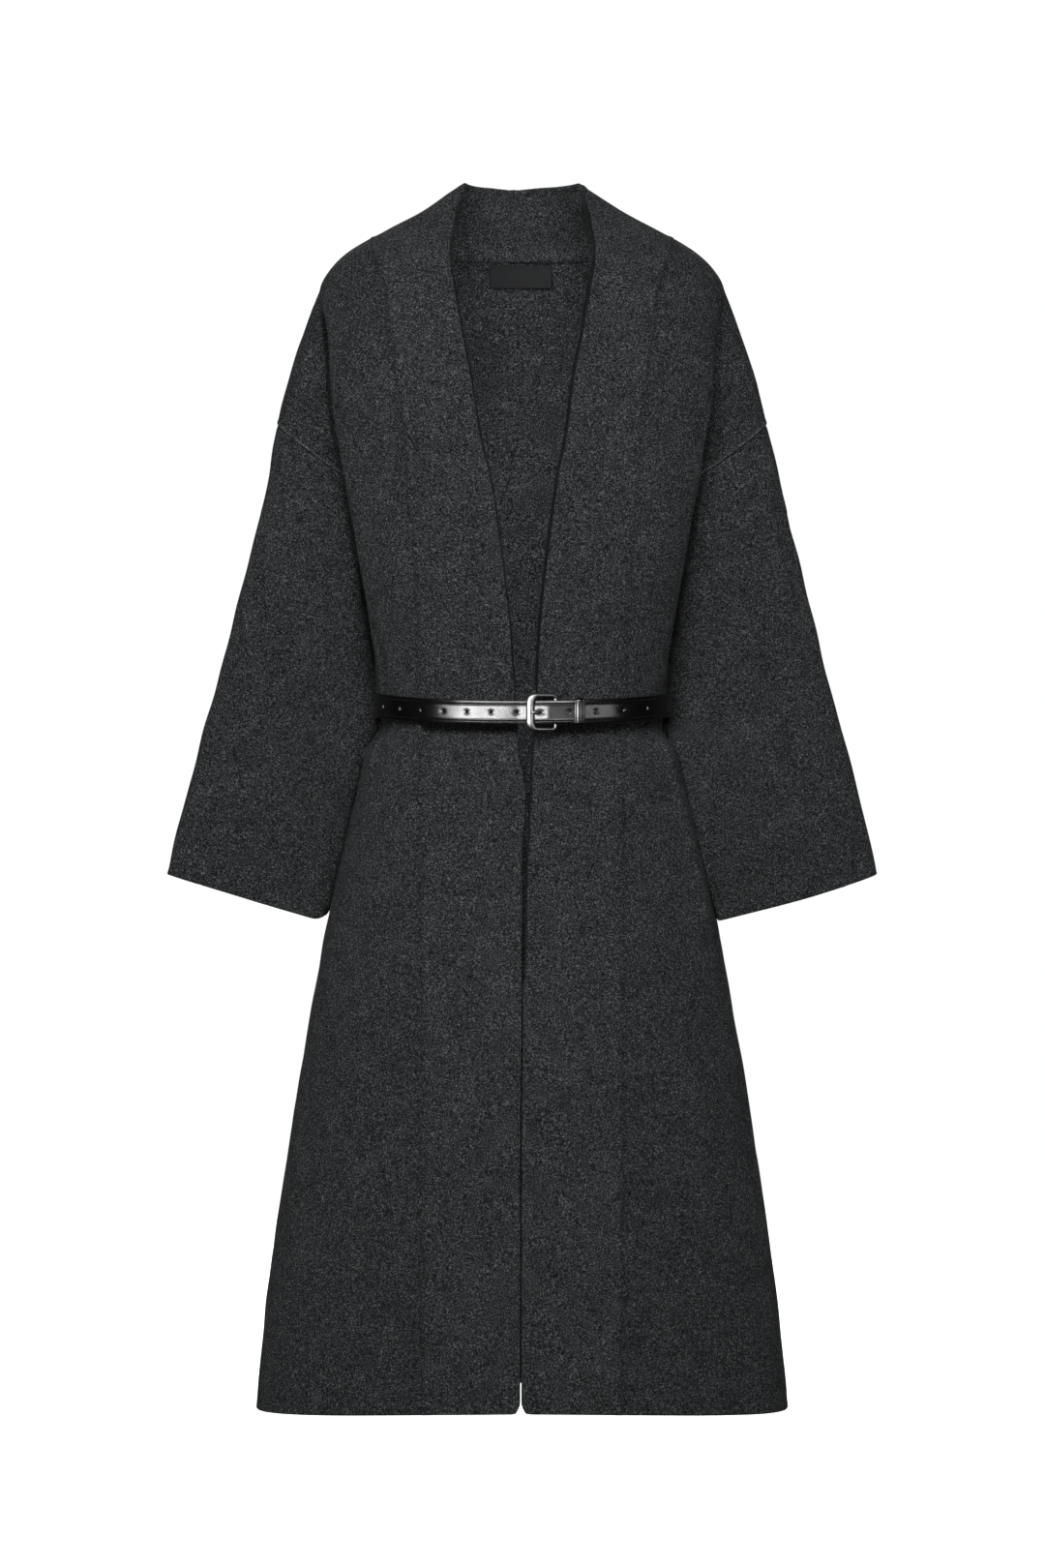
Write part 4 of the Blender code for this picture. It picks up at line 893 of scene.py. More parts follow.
# ------------------------------------------------------------------ band and collar
def band_grid():
    """Rows run from centre back over the shoulder line and down the front; columns from the free edge to the seam."""
    c = np.linspace(0, 1, 120)
    close = np.array((0, 0.45, 0.9, 1.35, 1.75, 2.1, 2.45, 2.8, 3.2, 3.8, 4.7, 6.0, 7.8))

    def columns(line):
        d = float(np.linalg.norm(np.diff(line, axis=0), axis=1).sum())
        at = np.concatenate((close, mix(close[-1], d, np.linspace(0, 1, 37)[1:] ** 1.15)))
        return resample_at(line, at / d)

    rows = []
    for t in np.linspace(0, 1, 46)[:-1]:
        sx, sz = neck_point(t)
        ex = COLLAR_PEAK_X * math.sin(t * math.pi / 2)
        ez = mix(COLLAR_TOP_BACK_Z, COLLAR_PEAK_Z, (ex / COLLAR_PEAK_X) ** 2) - 1.5
        te = theta_at(ex, ez) if ex < section("half", ez) else math.pi / 2
        z = mix(ez, sz, c)
        theta = mix(float(te), float(theta_at(sx, sz)), c)
        rows.append(columns(on_body(theta, z, 1)))
    for sz in np.concatenate((mix(NECK_SIDE_Z, -80, np.linspace(0, 1, 40) ** 1.3), np.linspace(-80, HEM_Z + 1.5, 270)[1:])):
        ez = float(pairs("edge_z", sz)) - 1.5 * float(smooth((sz + 10) / 30))
        ex, sx = float(band("edge", ez)) + 0.6, float(band("seam", sz))
        corner = max(0.0, (HEM_Z + 11.0 - sz) / 11.0)
        ex += 4.4 * corner**1.7
        te = theta_at(min(ex, float(section("half", ez))), ez)
        z = mix(ez, sz, c)
        theta = mix(float(te), float(theta_at(min(sx, float(section("half", sz))), sz)), c)
        rows.append(columns(on_body(theta, z, -1)))
    p = np.array(rows)
    p[..., 0] += 0.9 * (1 - smooth(np.arange(len(p)) / 9.0))[:, None]
    part = np.concatenate(((0,), np.cumsum(np.linalg.norm(np.diff(p[120], axis=0), axis=1))))
    part = part / part[-1]
    free = (1 - part) ** 2     # the collar's top stands a little higher beside the middle
    row = np.arange(len(p))
    lift = (0.9 + 1.7 * smooth(p[:, 0, 0] / 30.0)) * smooth((52 - row) / 7.0)
    p[..., 2] += lift[:, None] * free
    free = (1 - part[:, None]) ** 3
    for _ in range(6):                              # the edge rolls over the shoulder line without a point
        some = p[38:54].copy()
        some[1:-1] = mix(some[1:-1], (some[2:] + some[:-2]) / 2, 0.5 * free)
        p[38:54] = some
    return relax(p, 3)


bandp = band_grid()
bandn = normals(bandp)
bandn = bandn if bandn[200, 10, 1] < 0 else -bandn
SEAM_SHIFT = -8.0          # the collar's join lies a little to one side of the middle
for side, s in (("left", 1), ("right", -1)):
    x, z = bandp[..., 0] * s, bandp[..., 2]
    step = np.linalg.norm(np.diff(bandp, axis=1), axis=2)
    from_seam = np.concatenate((np.cumsum(step[:, ::-1], axis=1)[:, ::-1], np.zeros((bandp.shape[0], 1))), axis=1)
    from_edge = from_seam[:, :1] - from_seam
    down = np.arange(bandp.shape[0])[:, None]
    d = 0.5 * ripple(x + 500, z) * smooth(from_seam / 20.0)
    d = d + np.where(down < 46, 0.0, waist(z) + fold_marks(x, z) + gathers(x + 300, z, 0.25) + pinch_below(x, z))
    d = d + 0.9 * bell((from_seam - 2.4) / 3.0)                    # the band's own edge lies on the seam
    roll = smooth((down - 40) / 8.0) * smooth((z + 70) / 90.0)      # the collar's edge rolls outwards at the neck
    d = d + (2.2 if s > 0 else 0.8) * roll * bell((from_edge - 4.5) / 3.5)
    deep, wide = (20.0, 2.6) if s > 0 else (7.0, 1.4)              # the free edge turns in, more so on one side
    deep = deep * np.interp(-z, (-76, -60, 440, 475, 600, 720, 1130), (0.2, 1, 1, 0.4, 0.3, 0.08, 0.08)) * smooth((down - 43) / 6.0)
    near = 1 - from_edge / wide
    d = d - deep * (near + np.sqrt(near * near + 0.015)) / 2
    p = bandp + bandn * d[..., None]
    n = normals(p)
    n = n if n[200, 10, 1] < 0 else -n
    for _ in range(14):                                             # the wall turns the corner in a soft bend
        n[:, 1:17] = n[:, 1:17] / 2 + (n[:, :16] + n[:, 2:18]) / 4
    n = n / np.linalg.norm(n, axis=2, keepdims=True)
    # painted shade: the darker material goes on the wall where the free edge turns in, down the collar's centre join
    # and along its neck seam
    turn = (from_edge < 0.95 * wide) & (deep > 2.0) | (down < 1) & (from_edge < 26.0) | (down < 47) & (from_seam < 0.9)
    shift = np.where(down < 46, SEAM_SHIFT * s * (1 - (down / 46.0) ** 2) ** 2, 0.0)
    p = hem_drop(p.copy())
    p[..., 0] += shift * smooth(from_seam / 45.0)
    lean = np.interp(-z, (133, 242, 405, 448, 480, 564, 602, 695, 882, 1130), (0, 1.9, 2.8, 3.6, 4.2, 3.8, 1.6, 0.6, -1.2, -1.3))
    lean = lean + np.interp(-z, (455, 489, 505, 522, 545, 565), (0, -1.2, 0.6, 2.2, 1.2, 0))
    close = np.interp(-z, (455, 489, 505, 522, 545, 565), (0, 1.2, 2.8, 3.8, 2.4, 0))      # the edges come together under the belt
    p[..., 0] += np.where(down < 46, 0.0, (s * lean - close) * (from_seam / from_seam[:, :1]))
    thick = KNIT + 0.9 * bell(from_edge / 5.0)
    ring = smooth((46 - down) / 5.0)                                # inside the neck the collar's lower edge is a thick welt
    centre = np.abs(bandp[..., 0])
    thick = thick + ring * 3.0 * smooth((17.0 - from_seam) / 11.0)
    thick = thick + (1.6 * bell((centre - 5.0) / 2.4) - 2.3 * bell(centre / 2.3)) * smooth((42.0 - from_edge) / 20.0)
    pieces["band_" + side] = cloth("coat_band_" + side, p, n, knit_band,
                                   {"top": (1.5, 0.0), "left": 1.7, "right": (1.2, 0.8), "bottom": 1.5},
                                   mirror=s < 0, thick=thick, seam=100.0 + from_seam, turned=(knit_turned, turn))


# ------------------------------------------------------------------ sleeves
RINGS, ROUND = 132, 124


def sleeve_grid():
    rings = []
    for s in np.linspace(0, 1, RINGS) ** 1.25:
        oz, iz = mix(SHOULDER_END[1], CUFF_OUTER_Z + 1.5, s), mix(ARMPIT[1], CUFF_INNER_Z + 1.5, s)
        o = np.array((sleeve_out("outer", oz), sleeve_out("set_back", oz), oz))
        i = np.array((sleeve_in("inner", iz), sleeve_in("set_back", iz), iz))
        power = mix(mix(ARMHOLE_ROUND, 1.15, float(smooth(s / 0.3))), 0.8, float(smooth((s - 0.45) / 0.25)))
        dip = ARMHOLE_DIP * (1 - float(smooth(s / 0.5)))
        turn = np.linspace(0, 2 * math.pi, ROUND, endpoint=False)
        face = np.where(turn <= math.pi, -1.0, 1.0)
        sn = np.abs(np.sin(turn))
        bulge = np.where(face < 0, sleeve_in("front", iz), sleeve_in("back", iz))
        bulge = bulge * mix(pinch(turn), 1.0, float(smooth(s / 0.5)))
        p = (o + i) / 2 + (o - i) / 2 * np.cos(turn)[:, None]
        p[:, 1] += face * bulge * sn**power
        p = p + dip * sn[:, None] * SLEEVE_AXIS
        corner = smooth((np.abs(turn - math.pi) * -1 + 0.62) / 0.62) * float(smooth((s - 0.96) / 0.04))
        p[:, 2] += 7.5 * corner                     # the cuff's inner corner is rounded off
        rings.append(p)
    return np.array(rings), turn


sleeve, turn = sleeve_grid()
sleeve = relax(sleeve, 2, closed=True)
fold_z, fold_x = fold_edge(front, nb_front)
past = sleeve[..., 0] - np.interp(sleeve[..., 2], fold_z, fold_x)
faces_front = smooth(np.sin(turn) / 0.35)[None, :]
sleeve[..., 1] += (faces_front * smooth((-205 - sleeve[..., 2]) / 45.0)
                   * (5.0 * bell((past - 0.3) / 2.8) - 5.5 * smooth((past + 1.0) / 9.0) * bell(np.maximum(past - 12.0, 0) / 22.0)))
sn = normals(sleeve, closed=True)
mid = sleeve.mean(axis=1, keepdims=True)
sn = sn if float(((sleeve - mid) * sn).sum(axis=2).mean()) > 0 else -sn
for side, s in (("left", 1), ("right", -1)):
    run = np.linspace(0, 1, RINGS)[:, None] ** 1.25
    d = 0.7 * ripple(sleeve[..., 0] * s + 900 * (sleeve[..., 1] > 0), sleeve[..., 2] - 400) * smooth(run / 0.06) * smooth((1 - run) / 0.03 + 0.3)
    d = d - 0.9 * bell(run / 0.008)                 # the body's edge lies on the sleeve at their seam
    p = sleeve + sn * d[..., None]
    if s < 0:                                       # this sleeve is a little slimmer above the elbow
        p[..., 0] -= 2.4 * smooth(run / 0.12) * smooth((0.62 - run) / 0.4) * (0.5 + 0.5 * np.cos(turn))
    else:                                           # and this one's cuff hangs a little lower, its front lies close to the skirt
        p[..., 2] -= 2.2 * smooth((run - 0.8) / 0.2) * np.abs(np.sin(turn))
        p[..., 0] += 1.5 * smooth(run / 0.1) * smooth((1 - run) / 0.2) * (0.5 + 0.5 * np.cos(turn))
        p[..., 0] -= 11.0 * smooth((0.2 - np.cos(turn)) / 1.1) * smooth((-440 - p[..., 2]) / 40.0)
        beyond = p[..., 0] - section("half", p[..., 2])
        p[..., 1] -= (40.0 * faces_front * smooth((beyond + 9.0) / 6.0) * bell(np.maximum(beyond - 4.0, 0) / 56.0)
                      * smooth((-452 - p[..., 2]) / 24.0) * (1 - 0.35 * smooth((-585 - p[..., 2]) / 75.0)))
        # behind that contact the sleeve lies along the skirt's side, not inside it
        reach = np.where(p[..., 1] < 0, section("front", p[..., 2]), section("back", p[..., 2]))
        wall = section("half", p[..., 2]) * np.clip(1 - (p[..., 1] / reach) ** 2, 0, 1) ** (1 / POWER)
        wall = wall + mix(-3.0, 2.0, smooth((p[..., 1] + 30.0) / 14.0))
        clear = wall + 1.2 * np.logaddexp(0, np.clip((p[..., 0] - wall) / 1.2, -60, 600))
        p[..., 0] = mix(p[..., 0], clear, smooth((-440 - p[..., 2]) / 40.0))
    n = normals(p, closed=True)
    n = n if float(((p - mid) * n).sum(axis=2).mean()) > 0 else -n
    pieces["sleeve_" + side] = cloth("coat_sleeve_" + side, p, n, knit_sleeve, {"top": (2.6, 0.6), "bottom": 1.5}, closed=True, mirror=s < 0)


# ------------------------------------------------------------------ belt line (as in the CAD part)
BELT_FRONT_Z, BELT_SIDE_Z = -448.6, -439.3
BELT_WIDTH, BELT_THICK = 23.0, 2.6
BELT_STAND, TAIL_STAND, TAIL_END_STAND = 2.0, 6.2, 5.0
BELT_START_X, TAIL_END_TURN = 36.0, 1.78
HOLE_PITCH, PRONG_HOLE_X, HOLES_BEFORE, HOLES_AFTER = 24.4, 18.5, 7, 5
KEEPER_X, KEEPER_LENGTH = 53.8, 9.8


def table_value(name, z):
    rows = np.array(SECTIONS, float)[::-1]
    return float(pchip(rows[:, 0], rows[:, ("z", "half", "front", "back").index(name)], np.array(z)))


def belt_line(count=2400):
    z = (BELT_FRONT_Z + BELT_SIDE_Z) / 2
    half, fr, bk = (table_value(k, z) for k in ("half", "front", "back"))
    a = 2 * math.pi * np.arange(count + 1) / count
    s, c = np.sin(a), np.cos(a)
    x = half * np.sign(s) * np.abs(s) ** (2 / POWER)
    y = np.where(c > 0, -fr * c, -bk * c)
    dip = np.maximum(0.0, -y / fr) ** 1.5
    pts = np.stack((x, y, mix(BELT_SIDE_Z, BELT_FRONT_Z, dip)), axis=1)
    step = np.linalg.norm(np.diff(pts[:, :2], axis=0), axis=1)
    return pts, np.concatenate(((0.0,), np.cumsum(step)))


BELT_PTS, BELT_LEN = belt_line()
WAIST = float(BELT_LEN[-1])


def on_belt(s):
    s = np.mod(s, WAIST)
    return np.stack([np.interp(s, BELT_LEN, BELT_PTS[:, k]) for k in range(3)], axis=-1)


def belt_frame(s):
    along = on_belt(np.asarray(s) + 2.0) - on_belt(np.asarray(s) - 2.0)
    along[..., 2] = 0
    along = along / np.linalg.norm(along, axis=-1, keepdims=True)
    out = np.stack((along[..., 1], -along[..., 0], np.zeros_like(along[..., 0])), axis=-1)
    return on_belt(s), along, out


def length_at(x):
    k = int(np.argmax(BELT_PTS[:, 0] >= x))
    return float(np.interp(x, BELT_PTS[k - 1:k + 1, 0], BELT_LEN[k - 1:k + 1]))


def strap_stand(s):
    t = s - WAIST
    rise = mix(BELT_STAND, TAIL_STAND, smooth((t + 5.0) / 34.0))
    return mix(rise, TAIL_END_STAND, smooth((t - 64.0) / 45.0))


STRAP_START = length_at(BELT_START_X)
STRAP_END = WAIST + float(BELT_LEN[int(TAIL_END_TURN / (2 * math.pi) * (len(BELT_LEN) - 1))])
PRONG_S = WAIST + length_at(PRONG_HOLE_X)
HOLE_X = (-131.8, -115.6, -95.6, -74.8, -52.5, -29.3, -4.7, 17.2, 44.6, 68.8, 94.2, 116.6)
HOLE_S = [WAIST + math.copysign(length_at(abs(x)), x) for x in HOLE_X]
GROOVE_UP = BELT_WIDTH / 2 - 3.3


def place(s, stand, up):
    """Points at length s, height off the cloth and height up the strap."""
    p, along, out = belt_frame(s)
    q = p + out * np.asarray(stand)[..., None]
    q[..., 2] = q[..., 2] + up
    return q


def grid_mesh(name, grid, mat, wrap=True, caps=True):
    """Rings of points joined to a closed skin."""
    R, C = grid.shape[:2]
    bm = bmesh.new()
    vs = [[bm.verts.new(Vector(q) * MM) for q in ring] for ring in grid]
    for a, b in zip(vs, vs[1:]):
        for j in range(C if wrap else C - 1):
            k = (j + 1) % C
            bm.faces.new((a[j], a[k], b[k], b[j]))
    if caps:
        bm.faces.new(vs[0][::-1])
        bm.faces.new(vs[-1])
    bmesh.ops.recalc_face_normals(bm, faces=bm.faces)
    for f in bm.faces:
        f.smooth = True
    mesh = bpy.data.meshes.new(name)
    bm.to_mesh(mesh)
    bm.free()
    mesh.materials.append(mat)
    obj = bpy.data.objects.new(name, mesh)
    SCENE.collection.objects.link(obj)
    return obj


def strap_profile():
    """Closed cross-section: (up, height, on the outer face), a crowned face with a groove inside each edge."""
    w = BELT_WIDTH / 2
    ups = np.unique(np.concatenate((np.linspace(-w + 0.8, w - 0.8, 31),
                                    *(g + np.linspace(-1.1, 1.1, 9) for g in (-GROOVE_UP, GROOVE_UP)))))
    crown = BELT_THICK + 0.1 - 0.05 * (ups / w) ** 4
    for g in (-GROOVE_UP, GROOVE_UP):
        crown = crown - 0.62 * bell((ups - g) / 0.42) + 0.16 * bell((np.abs(ups - g) - 1.0) / 0.5)
    outer = [(u, h, 1.0) for u, h in zip(ups, crown)]
    h_end = crown[-1]
    right = [(w - 0.8 + 0.8 * math.sin(a), h_end - 0.8 + 0.8 * math.cos(a), 0.0) for a in np.radians((30, 60, 90))]
    low = [(w - 0.5 + 0.5 * math.cos(a), 0.5 - 0.5 * math.sin(a), 0.0) for a in np.radians((0, 45, 90))]
    inner = [(u, 0.0, 0.0) for u in np.linspace(w - 0.8, -w + 0.8, 9)]
    left = [(-a, b, 0.0) for a, b, _ in (low + [])[::-1]] + [(-a, b, 0.0) for a, b, _ in right[::-1]]
    return np.array(outer + right + low + inner + left)


PROFILE = strap_profile()
strap_s = np.linspace(STRAP_START, STRAP_END, 640)
rings = []
for s in strap_s:
    taper = min(1.0, 0.45 + 0.55 * math.sqrt(max(0.0, (STRAP_END - s) / 14.0)))
    up, h, face = PROFILE[:, 0] * taper, PROFILE[:, 1].copy(), PROFILE[:, 2]
    for k, hs in enumerate(HOLE_S):
        if abs(s - hs) < 9:
            r = np.hypot((s - hs) / (1.6 if k == HOLES_BEFORE else 1.0), up)
            h = h - face * 0.45 * bell(r / 2.3)
    h = h + face * 0.05 * np.sin(s / 5.7 + up / 3.1) * np.sin(s / 11.0 + 1.3)
    rings.append(place(np.full(len(up), s), strap_stand(s) + h, up))
strap = grid_mesh("belt_strap_leather", np.array(rings), leather)

cut_bm = bmesh.new()
for k, hs in enumerate(HOLE_S):
    prong = k == HOLES_BEFORE
    p, along, out = belt_frame(hs + (-3.0 if prong else 0.0))
    centre = p + out * (strap_stand(hs) + BELT_THICK / 2)
    turn_m = Matrix((along, (0, 0, 1), out)).transposed().to_4x4()
    grow = Matrix.Diagonal((2.5 if prong else 1.0, 1.25 if prong else 1.0, 1, 1))
    bmesh.ops.create_cone(cut_bm, cap_ends=True, segments=28, radius1=1.55 * MM, radius2=1.55 * MM, depth=6.0 * MM,
                          matrix=Matrix.Translation(Vector(centre) * MM) @ turn_m @ grow)
cut_mesh = bpy.data.meshes.new("holes")
cut_bm.to_mesh(cut_mesh)
cut_bm.free()
cut_obj = bpy.data.objects.new("holes", cut_mesh)
SCENE.collection.objects.link(cut_obj)
mod = strap.modifiers.new("holes", "BOOLEAN")
mod.operation = "DIFFERENCE"
mod.solver = "EXACT"
mod.object = cut_obj
dg = bpy.context.evaluated_depsgraph_get()
done = bpy.data.meshes.new_from_object(strap.evaluated_get(dg))
strap.modifiers.clear()
strap.data = done
strap.data.name = "belt_strap_leather"
if not strap.data.materials:
    strap.data.materials.append(leather)
bpy.data.objects.remove(cut_obj, do_unlink=True)
strap.data.materials.append(raw_leather)
count = len(strap.data.polygons)
centres, facing, index = np.empty(count * 3), np.empty(count * 3), np.zeros(count, np.int32)
strap.data.polygons.foreach_get("center", centres)
strap.data.polygons.foreach_get("normal", facing)
centres, facing = centres.reshape(-1, 3) / MM, facing.reshape(-1, 3)
for k, hs in enumerate(HOLE_S):
    p, along, out = belt_frame(hs + (-3.0 if k == HOLES_BEFORE else 0.0))
    reach_a, reach_u = (4.1, 2.1) if k == HOLES_BEFORE else (1.66, 1.66)
    c = centres - p
    index[(np.abs(c @ along) < reach_a) & (np.abs(c[:, 2]) < reach_u) & (np.abs(facing @ out) < 0.5)
          & (c @ out > strap_stand(hs) - 0.2)] = 1
strap.data.polygons.foreach_set("material_index", index)
strap.data.set_sharp_from_angle(angle=math.radians(50))


def stitches():
    bm = bmesh.new()
    pitch, long, thick = 3.3, 2.3, 0.30
    for g in (-GROOVE_UP, GROOVE_UP):
        s = STRAP_START + 4
        while s < STRAP_END - 16:
            ss = np.linspace(s, s + long, 5)
            bow = np.array((-0.30, 0.12, 0.2, 0.12, -0.30))
            mid_pts = place(ss, strap_stand(ss) + BELT_THICK - 0.38 + bow, np.full(5, g))
            _, along, out = belt_frame(ss)
            ring = []
            for k in range(5):
                r = thick * (0.55 if k in (0, 4) else 1.0)
                ring.append([bm.verts.new(Vector(mid_pts[k] + out[k] * r * math.cos(a) + np.array((0, 0, r * math.sin(a)))) * MM)
                             for a in np.linspace(0, 2 * math.pi, 7)[:-1]])
            for a, b in zip(ring, ring[1:]):
                for j in range(6):
                    bm.faces.new((a[j], a[(j + 1) % 6], b[(j + 1) % 6], b[j]))
            bm.faces.new(ring[0][::-1])
            bm.faces.new(ring[-1])
            s += pitch
    bmesh.ops.recalc_face_normals(bm, faces=bm.faces)
    for f in bm.faces:
        f.smooth = True
    mesh = bpy.data.meshes.new("belt_stitches")
    bm.to_mesh(mesh)
    bm.free()
    mesh.materials.append(thread)
    obj = bpy.data.objects.new("belt_stitches", mesh)
    SCENE.collection.objects.link(obj)
    return obj


belt_stitches = stitches()


def loft(name, points, across, outs, wide, high, mat, closed):
    """A bar swept along points with an oval section: wide along across, high along outs."""
    sides = 20
    grid = []
    for p, a, o, w, h in zip(points, across, outs, wide, high):
        grid.append([p + a * w * math.cos(t) + o * h * math.copysign(abs(math.sin(t)) ** 0.85, math.sin(t))
                     for t in np.linspace(0, 2 * math.pi, sides, endpoint=False)])
    grid = np.array(grid)
    if closed:
        grid = np.concatenate((grid, grid[:1]))
    R, C = grid.shape[:2]
    bm = bmesh.new()
    n_rings = R - 1 if closed else R
    vs = [[bm.verts.new(Vector(q) * MM) for q in grid[i]] for i in range(n_rings)]
    for i in range(R - 1):
        a, b = vs[i], vs[(i + 1) % n_rings]
        for j in range(C):
            k = (j + 1) % C
            bm.faces.new((a[j], a[k], b[k], b[j]))
    if not closed:
        bm.faces.new(vs[0][::-1])
        bm.faces.new(vs[-1])
    bmesh.ops.recalc_face_normals(bm, faces=bm.faces)
    for f in bm.faces:
        f.smooth = True
    mesh = bpy.data.meshes.new(name)
    bm.to_mesh(mesh)
    bm.free()
    mesh.materials.append(mat)
    obj = bpy.data.objects.new(name, mesh)
    SCENE.collection.objects.link(obj)
    return obj


# buckle frame: a broad rounded outer bar and slim arms that run back to the hinge bar under the strap
BUCKLE_LEFT, BUCKLE_RIGHT, BUCKLE_HALF, BUCKLE_CORNER = 7.6, 32.0, 16.4, 7.5


def buckle():
    cx, hx = (BUCKLE_LEFT + BUCKLE_RIGHT) / 2, (BUCKLE_RIGHT - BUCKLE_LEFT) / 2
    xs, ups = [], []
    for qx, qz, start in ((1, 1, 0), (-1, 1, 90), (-1, -1, 180), (1, -1, 270)):
        r = BUCKLE_CORNER if qx < 0 else 3.5
        for a in np.radians(np.linspace(start, start + 90, 15)):
            xs.append(cx + qx * (hx - r) + r * math.cos(a))
            ups.append(qz * (BUCKLE_HALF - r) + r * math.sin(a))
    loop = np.stack((xs, ups, np.zeros(len(xs))), axis=1)
    loop = resample(np.concatenate((loop, loop[:1])), 161)[:-1]
    x, up = loop[:, 0], loop[:, 1]
    t = (BUCKLE_RIGHT - x) / (BUCKLE_RIGHT - BUCKLE_LEFT)
    s = np.array([length_at(v) for v in x])
    stand = mix(3.3, 9.6, t**0.8)
    pts = place(s, stand, up)
    _, along, out = belt_frame(s)
    tang = np.roll(pts, -1, 0) - np.roll(pts, 1, 0)
    tang /= np.linalg.norm(tang, axis=1, keepdims=True)
    across = np.cross(tang, out)
    across /= np.linalg.norm(across, axis=1, keepdims=True)
    upright = np.cross(across, tang)
    bar = smooth((t - 0.72) / 0.26)
    wide = mix(1.7, 3.9, bar)
    high = mix(1.6, 1.9, bar)
    return loft("belt_buckle_frame", pts, across, upright, wide, high, metal, True)


buckle_frame = buckle()
ROUTE = ((29.5, 2.9), (25.0, 3.1), (21.4, 3.7), (19.0, 5.8), (17.4, 8.9), (14.6, 11.0), (11.6, 12.3), (9.3, 12.4), (8.0, 12.0))
route = resample(np.array([(x, st, 0.0) for x, st in ROUTE]), 40)
rs = np.array([length_at(v) for v in route[:, 0]])
prong_pts = place(rs, route[:, 1], np.zeros(len(rs)))
_, p_along, p_out = belt_frame(rs)
tang = np.gradient(prong_pts, axis=0)
tang /= np.linalg.norm(tang, axis=1, keepdims=True)
side_dir = np.broadcast_to(np.array((0, 0, 1.0)), tang.shape)
up_dir = np.cross(tang, side_dir)
taper = mix(1.0, 0.62, smooth((np.linspace(0, 1, 40) - 0.75) / 0.25))
buckle_prong = loft("belt_buckle_prong", prong_pts, side_dir, up_dir, 1.25 * taper, 1.05 * taper, metal, False)


def keeper():
    """A leather loop round strap and tail with two raised welts along its edges."""
    s0 = length_at(KEEPER_X)
    inner_low, inner_high, half = BELT_STAND - 0.4, TAIL_STAND + BELT_THICK + 0.75, BELT_WIDTH / 2 + 0.55
    loop = []
    r = 1.6
    for sx, sz, start in ((1, 1, 0), (-1, 1, 90), (-1, -1, 180), (1, -1, 270)):
        for a in np.radians(np.linspace(start, start + 90, 7)):
            loop.append((sx * (half - r) + r * math.cos(a),
                         (inner_high if sz > 0 else inner_low) - sz * r + r * math.sin(a)))
    loop = np.array(loop)
    centre = np.array((0, (inner_low + inner_high) / 2))
    nrm = np.stack((np.gradient(np.concatenate((loop, loop[:1]))[:, 1])[:-1], -np.gradient(np.concatenate((loop, loop[:1]))[:, 0])[:-1]), axis=1)
    nrm /= np.maximum(np.linalg.norm(nrm, axis=1, keepdims=True), 1e-9)
    nrm = np.where(((loop - centre) * nrm).sum(axis=1, keepdims=True) < 0, -nrm, nrm)
    prof = [(-0.5, 0.0), (-0.5, 0.5), (-0.47, 0.72), (-0.42, 0.86), (-0.37, 0.86), (-0.335, 0.72), (-0.30, 0.78), (-0.24, 1.02),
            (-0.16, 1.27), (-0.08, 1.42), (0.0, 1.47)]
    prof = prof + [(-a, b) for a, b in prof[-2::-1]]
    grid = []
    for q, nn in zip(loop, nrm):
        ring = []
        for t, h in prof:
            w = q + nn * h
            ring.append(place(np.array([s0 + t * KEEPER_LENGTH]), np.array([w[1]]), np.array([w[0]]))[0])
        grid.append(ring)
    grid.append(grid[0])
    grid = np.array(grid)
    R, C = grid.shape[:2]
    bm = bmesh.new()
    vs = [[bm.verts.new(Vector(q) * MM) for q in grid[i]] for i in range(R - 1)]
    for i in range(R - 1):
        a, b = vs[i], vs[(i + 1) % (R - 1)]
        for j in range(C):
            k = (j + 1) % C
            bm.faces.new((a[j], a[k], b[k], b[j]))
    bmesh.ops.recalc_face_normals(bm, faces=bm.faces)
    for f in bm.faces:
        f.smooth = True
    mesh = bpy.data.meshes.new("belt_keeper_loop")
    bm.to_mesh(mesh)
    bm.free()
    mesh.materials.append(leather)
    mesh.set_sharp_from_angle(angle=math.radians(60))
    obj = bpy.data.objects.new("belt_keeper_loop", mesh)
    SCENE.collection.objects.link(obj)
    return obj


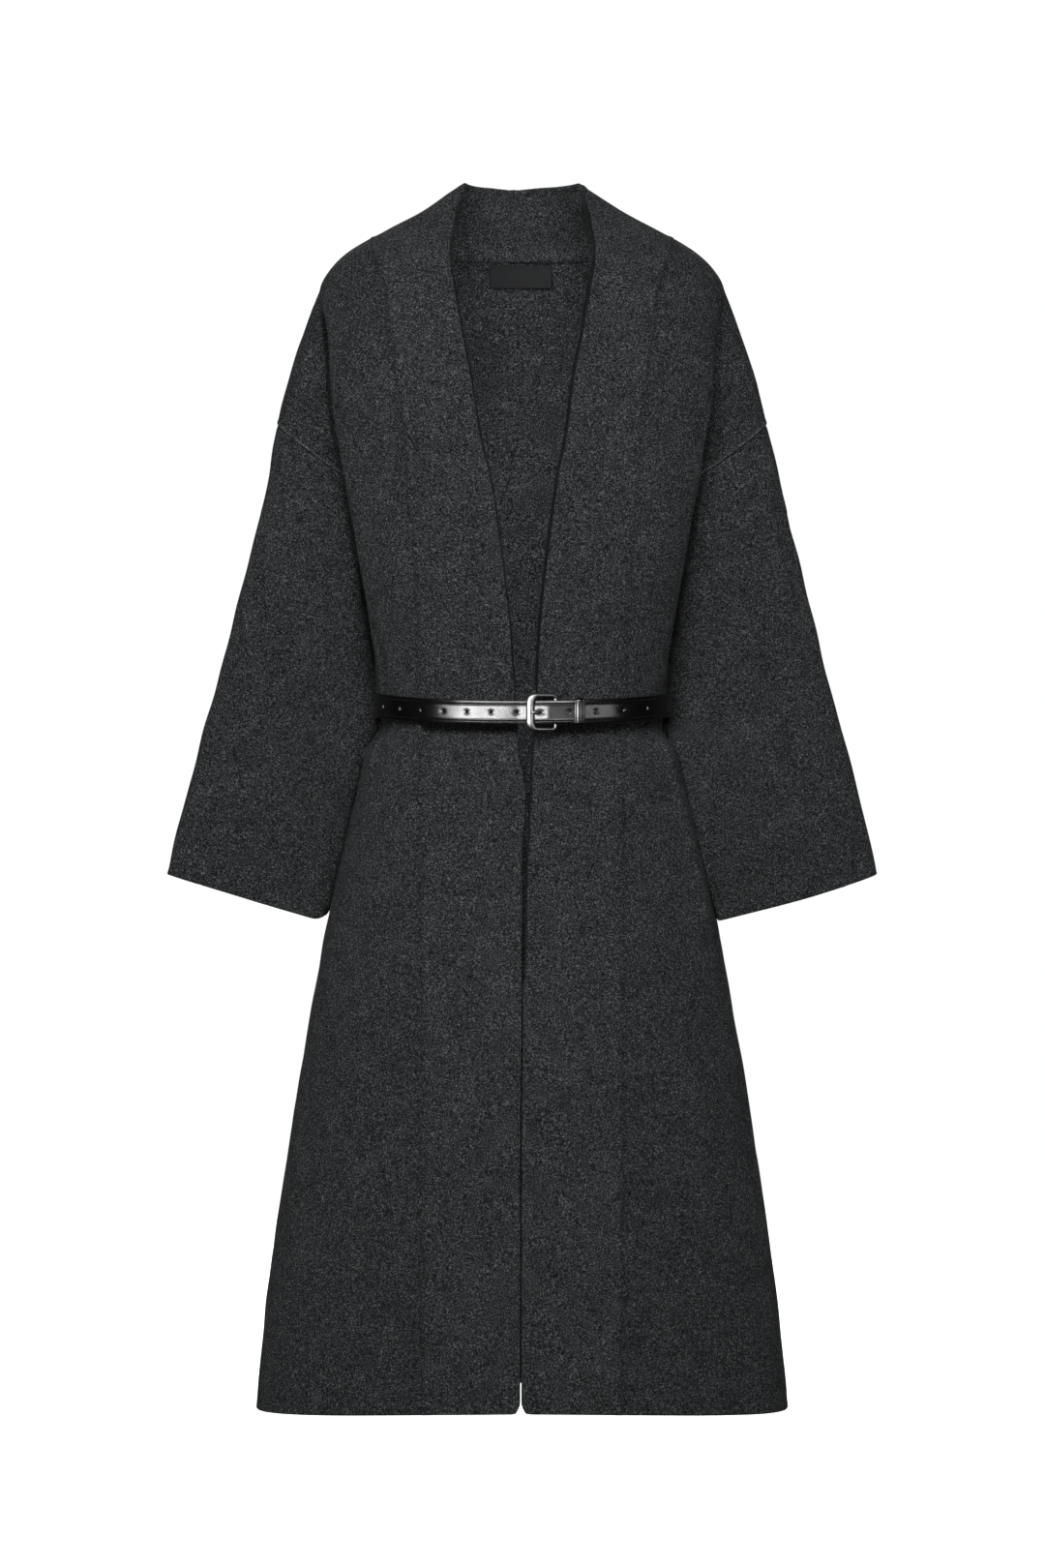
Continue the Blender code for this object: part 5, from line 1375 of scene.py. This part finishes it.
belt_keeper = keeper()

# ------------------------------------------------------------------ label
LABEL_X, LABEL_Z = (-32.6, 29.7), (-17.6, 4.4)
lx = np.linspace(LABEL_X[0], LABEL_X[1], 44)
lz = np.linspace(LABEL_Z[1], LABEL_Z[0], 18)
LX, LZ = np.meshgrid(lx, lz)
base = on_body(theta_at(np.abs(LX), LZ), LZ, 1)
base[..., 0] = LX
ln = normals(base)
ln = ln if ln[8, 20, 1] < 0 else -ln                # faces the neck opening
edge = np.minimum(np.minimum(LX - LABEL_X[0], LABEL_X[1] - LX), np.minimum(LABEL_Z[1] - LZ, LZ - LABEL_Z[0]))
rise = KNIT + 1.5 + 2.6 * smooth((LABEL_Z[1] - LZ) / 20.0) + 0.35 * bell((edge - 1.0) / 0.8)
lp = base + ln * rise[..., None]
label = cloth("neck_label_cloth", lp, normals(lp) if normals(lp)[8, 20, 1] < 0 else -normals(lp), label_cloth,
              {"top": 0.4, "bottom": 0.4, "left": 0.4, "right": 0.4}, thick=0.8)


# ------------------------------------------------------------------ the frame: what rides, what is replaced
for node, obj in pieces.items():
    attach(obj, "root")
    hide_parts(node)
    if node.startswith("band_"):                    # one strip of cloth: the collar half and the front band
        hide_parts(node.replace("band_", "collar_"))
for obj, node, slot in ((strap, "belt_strap", "leather"), (buckle_frame, "buckle_frame", "metal"),
                        (buckle_prong, "buckle_prong", "metal"), (belt_keeper, "belt_keeper", "leather"),
                        (label, "neck_label", "label")):
    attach(obj, "root")
    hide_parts(node)
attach(belt_stitches, "root")


def flat_area(obj):
    mesh = obj.data
    a = np.empty(len(mesh.polygons))
    mesh.polygons.foreach_get("area", a)
    return float(a.sum()) / 2


FLAT = {"back": (0.92, 1.16), "front_left": (0.31, 1.17), "front_right": (0.31, 1.17), "band_left": (0.14, 1.36),
        "band_right": (0.14, 1.36), "sleeve_left": (0.40, 0.47), "sleeve_right": (0.40, 0.47)}
for node, obj in pieces.items():
    w, l = FLAT[node]
    min(round(flat_area(obj), 3), w * l)
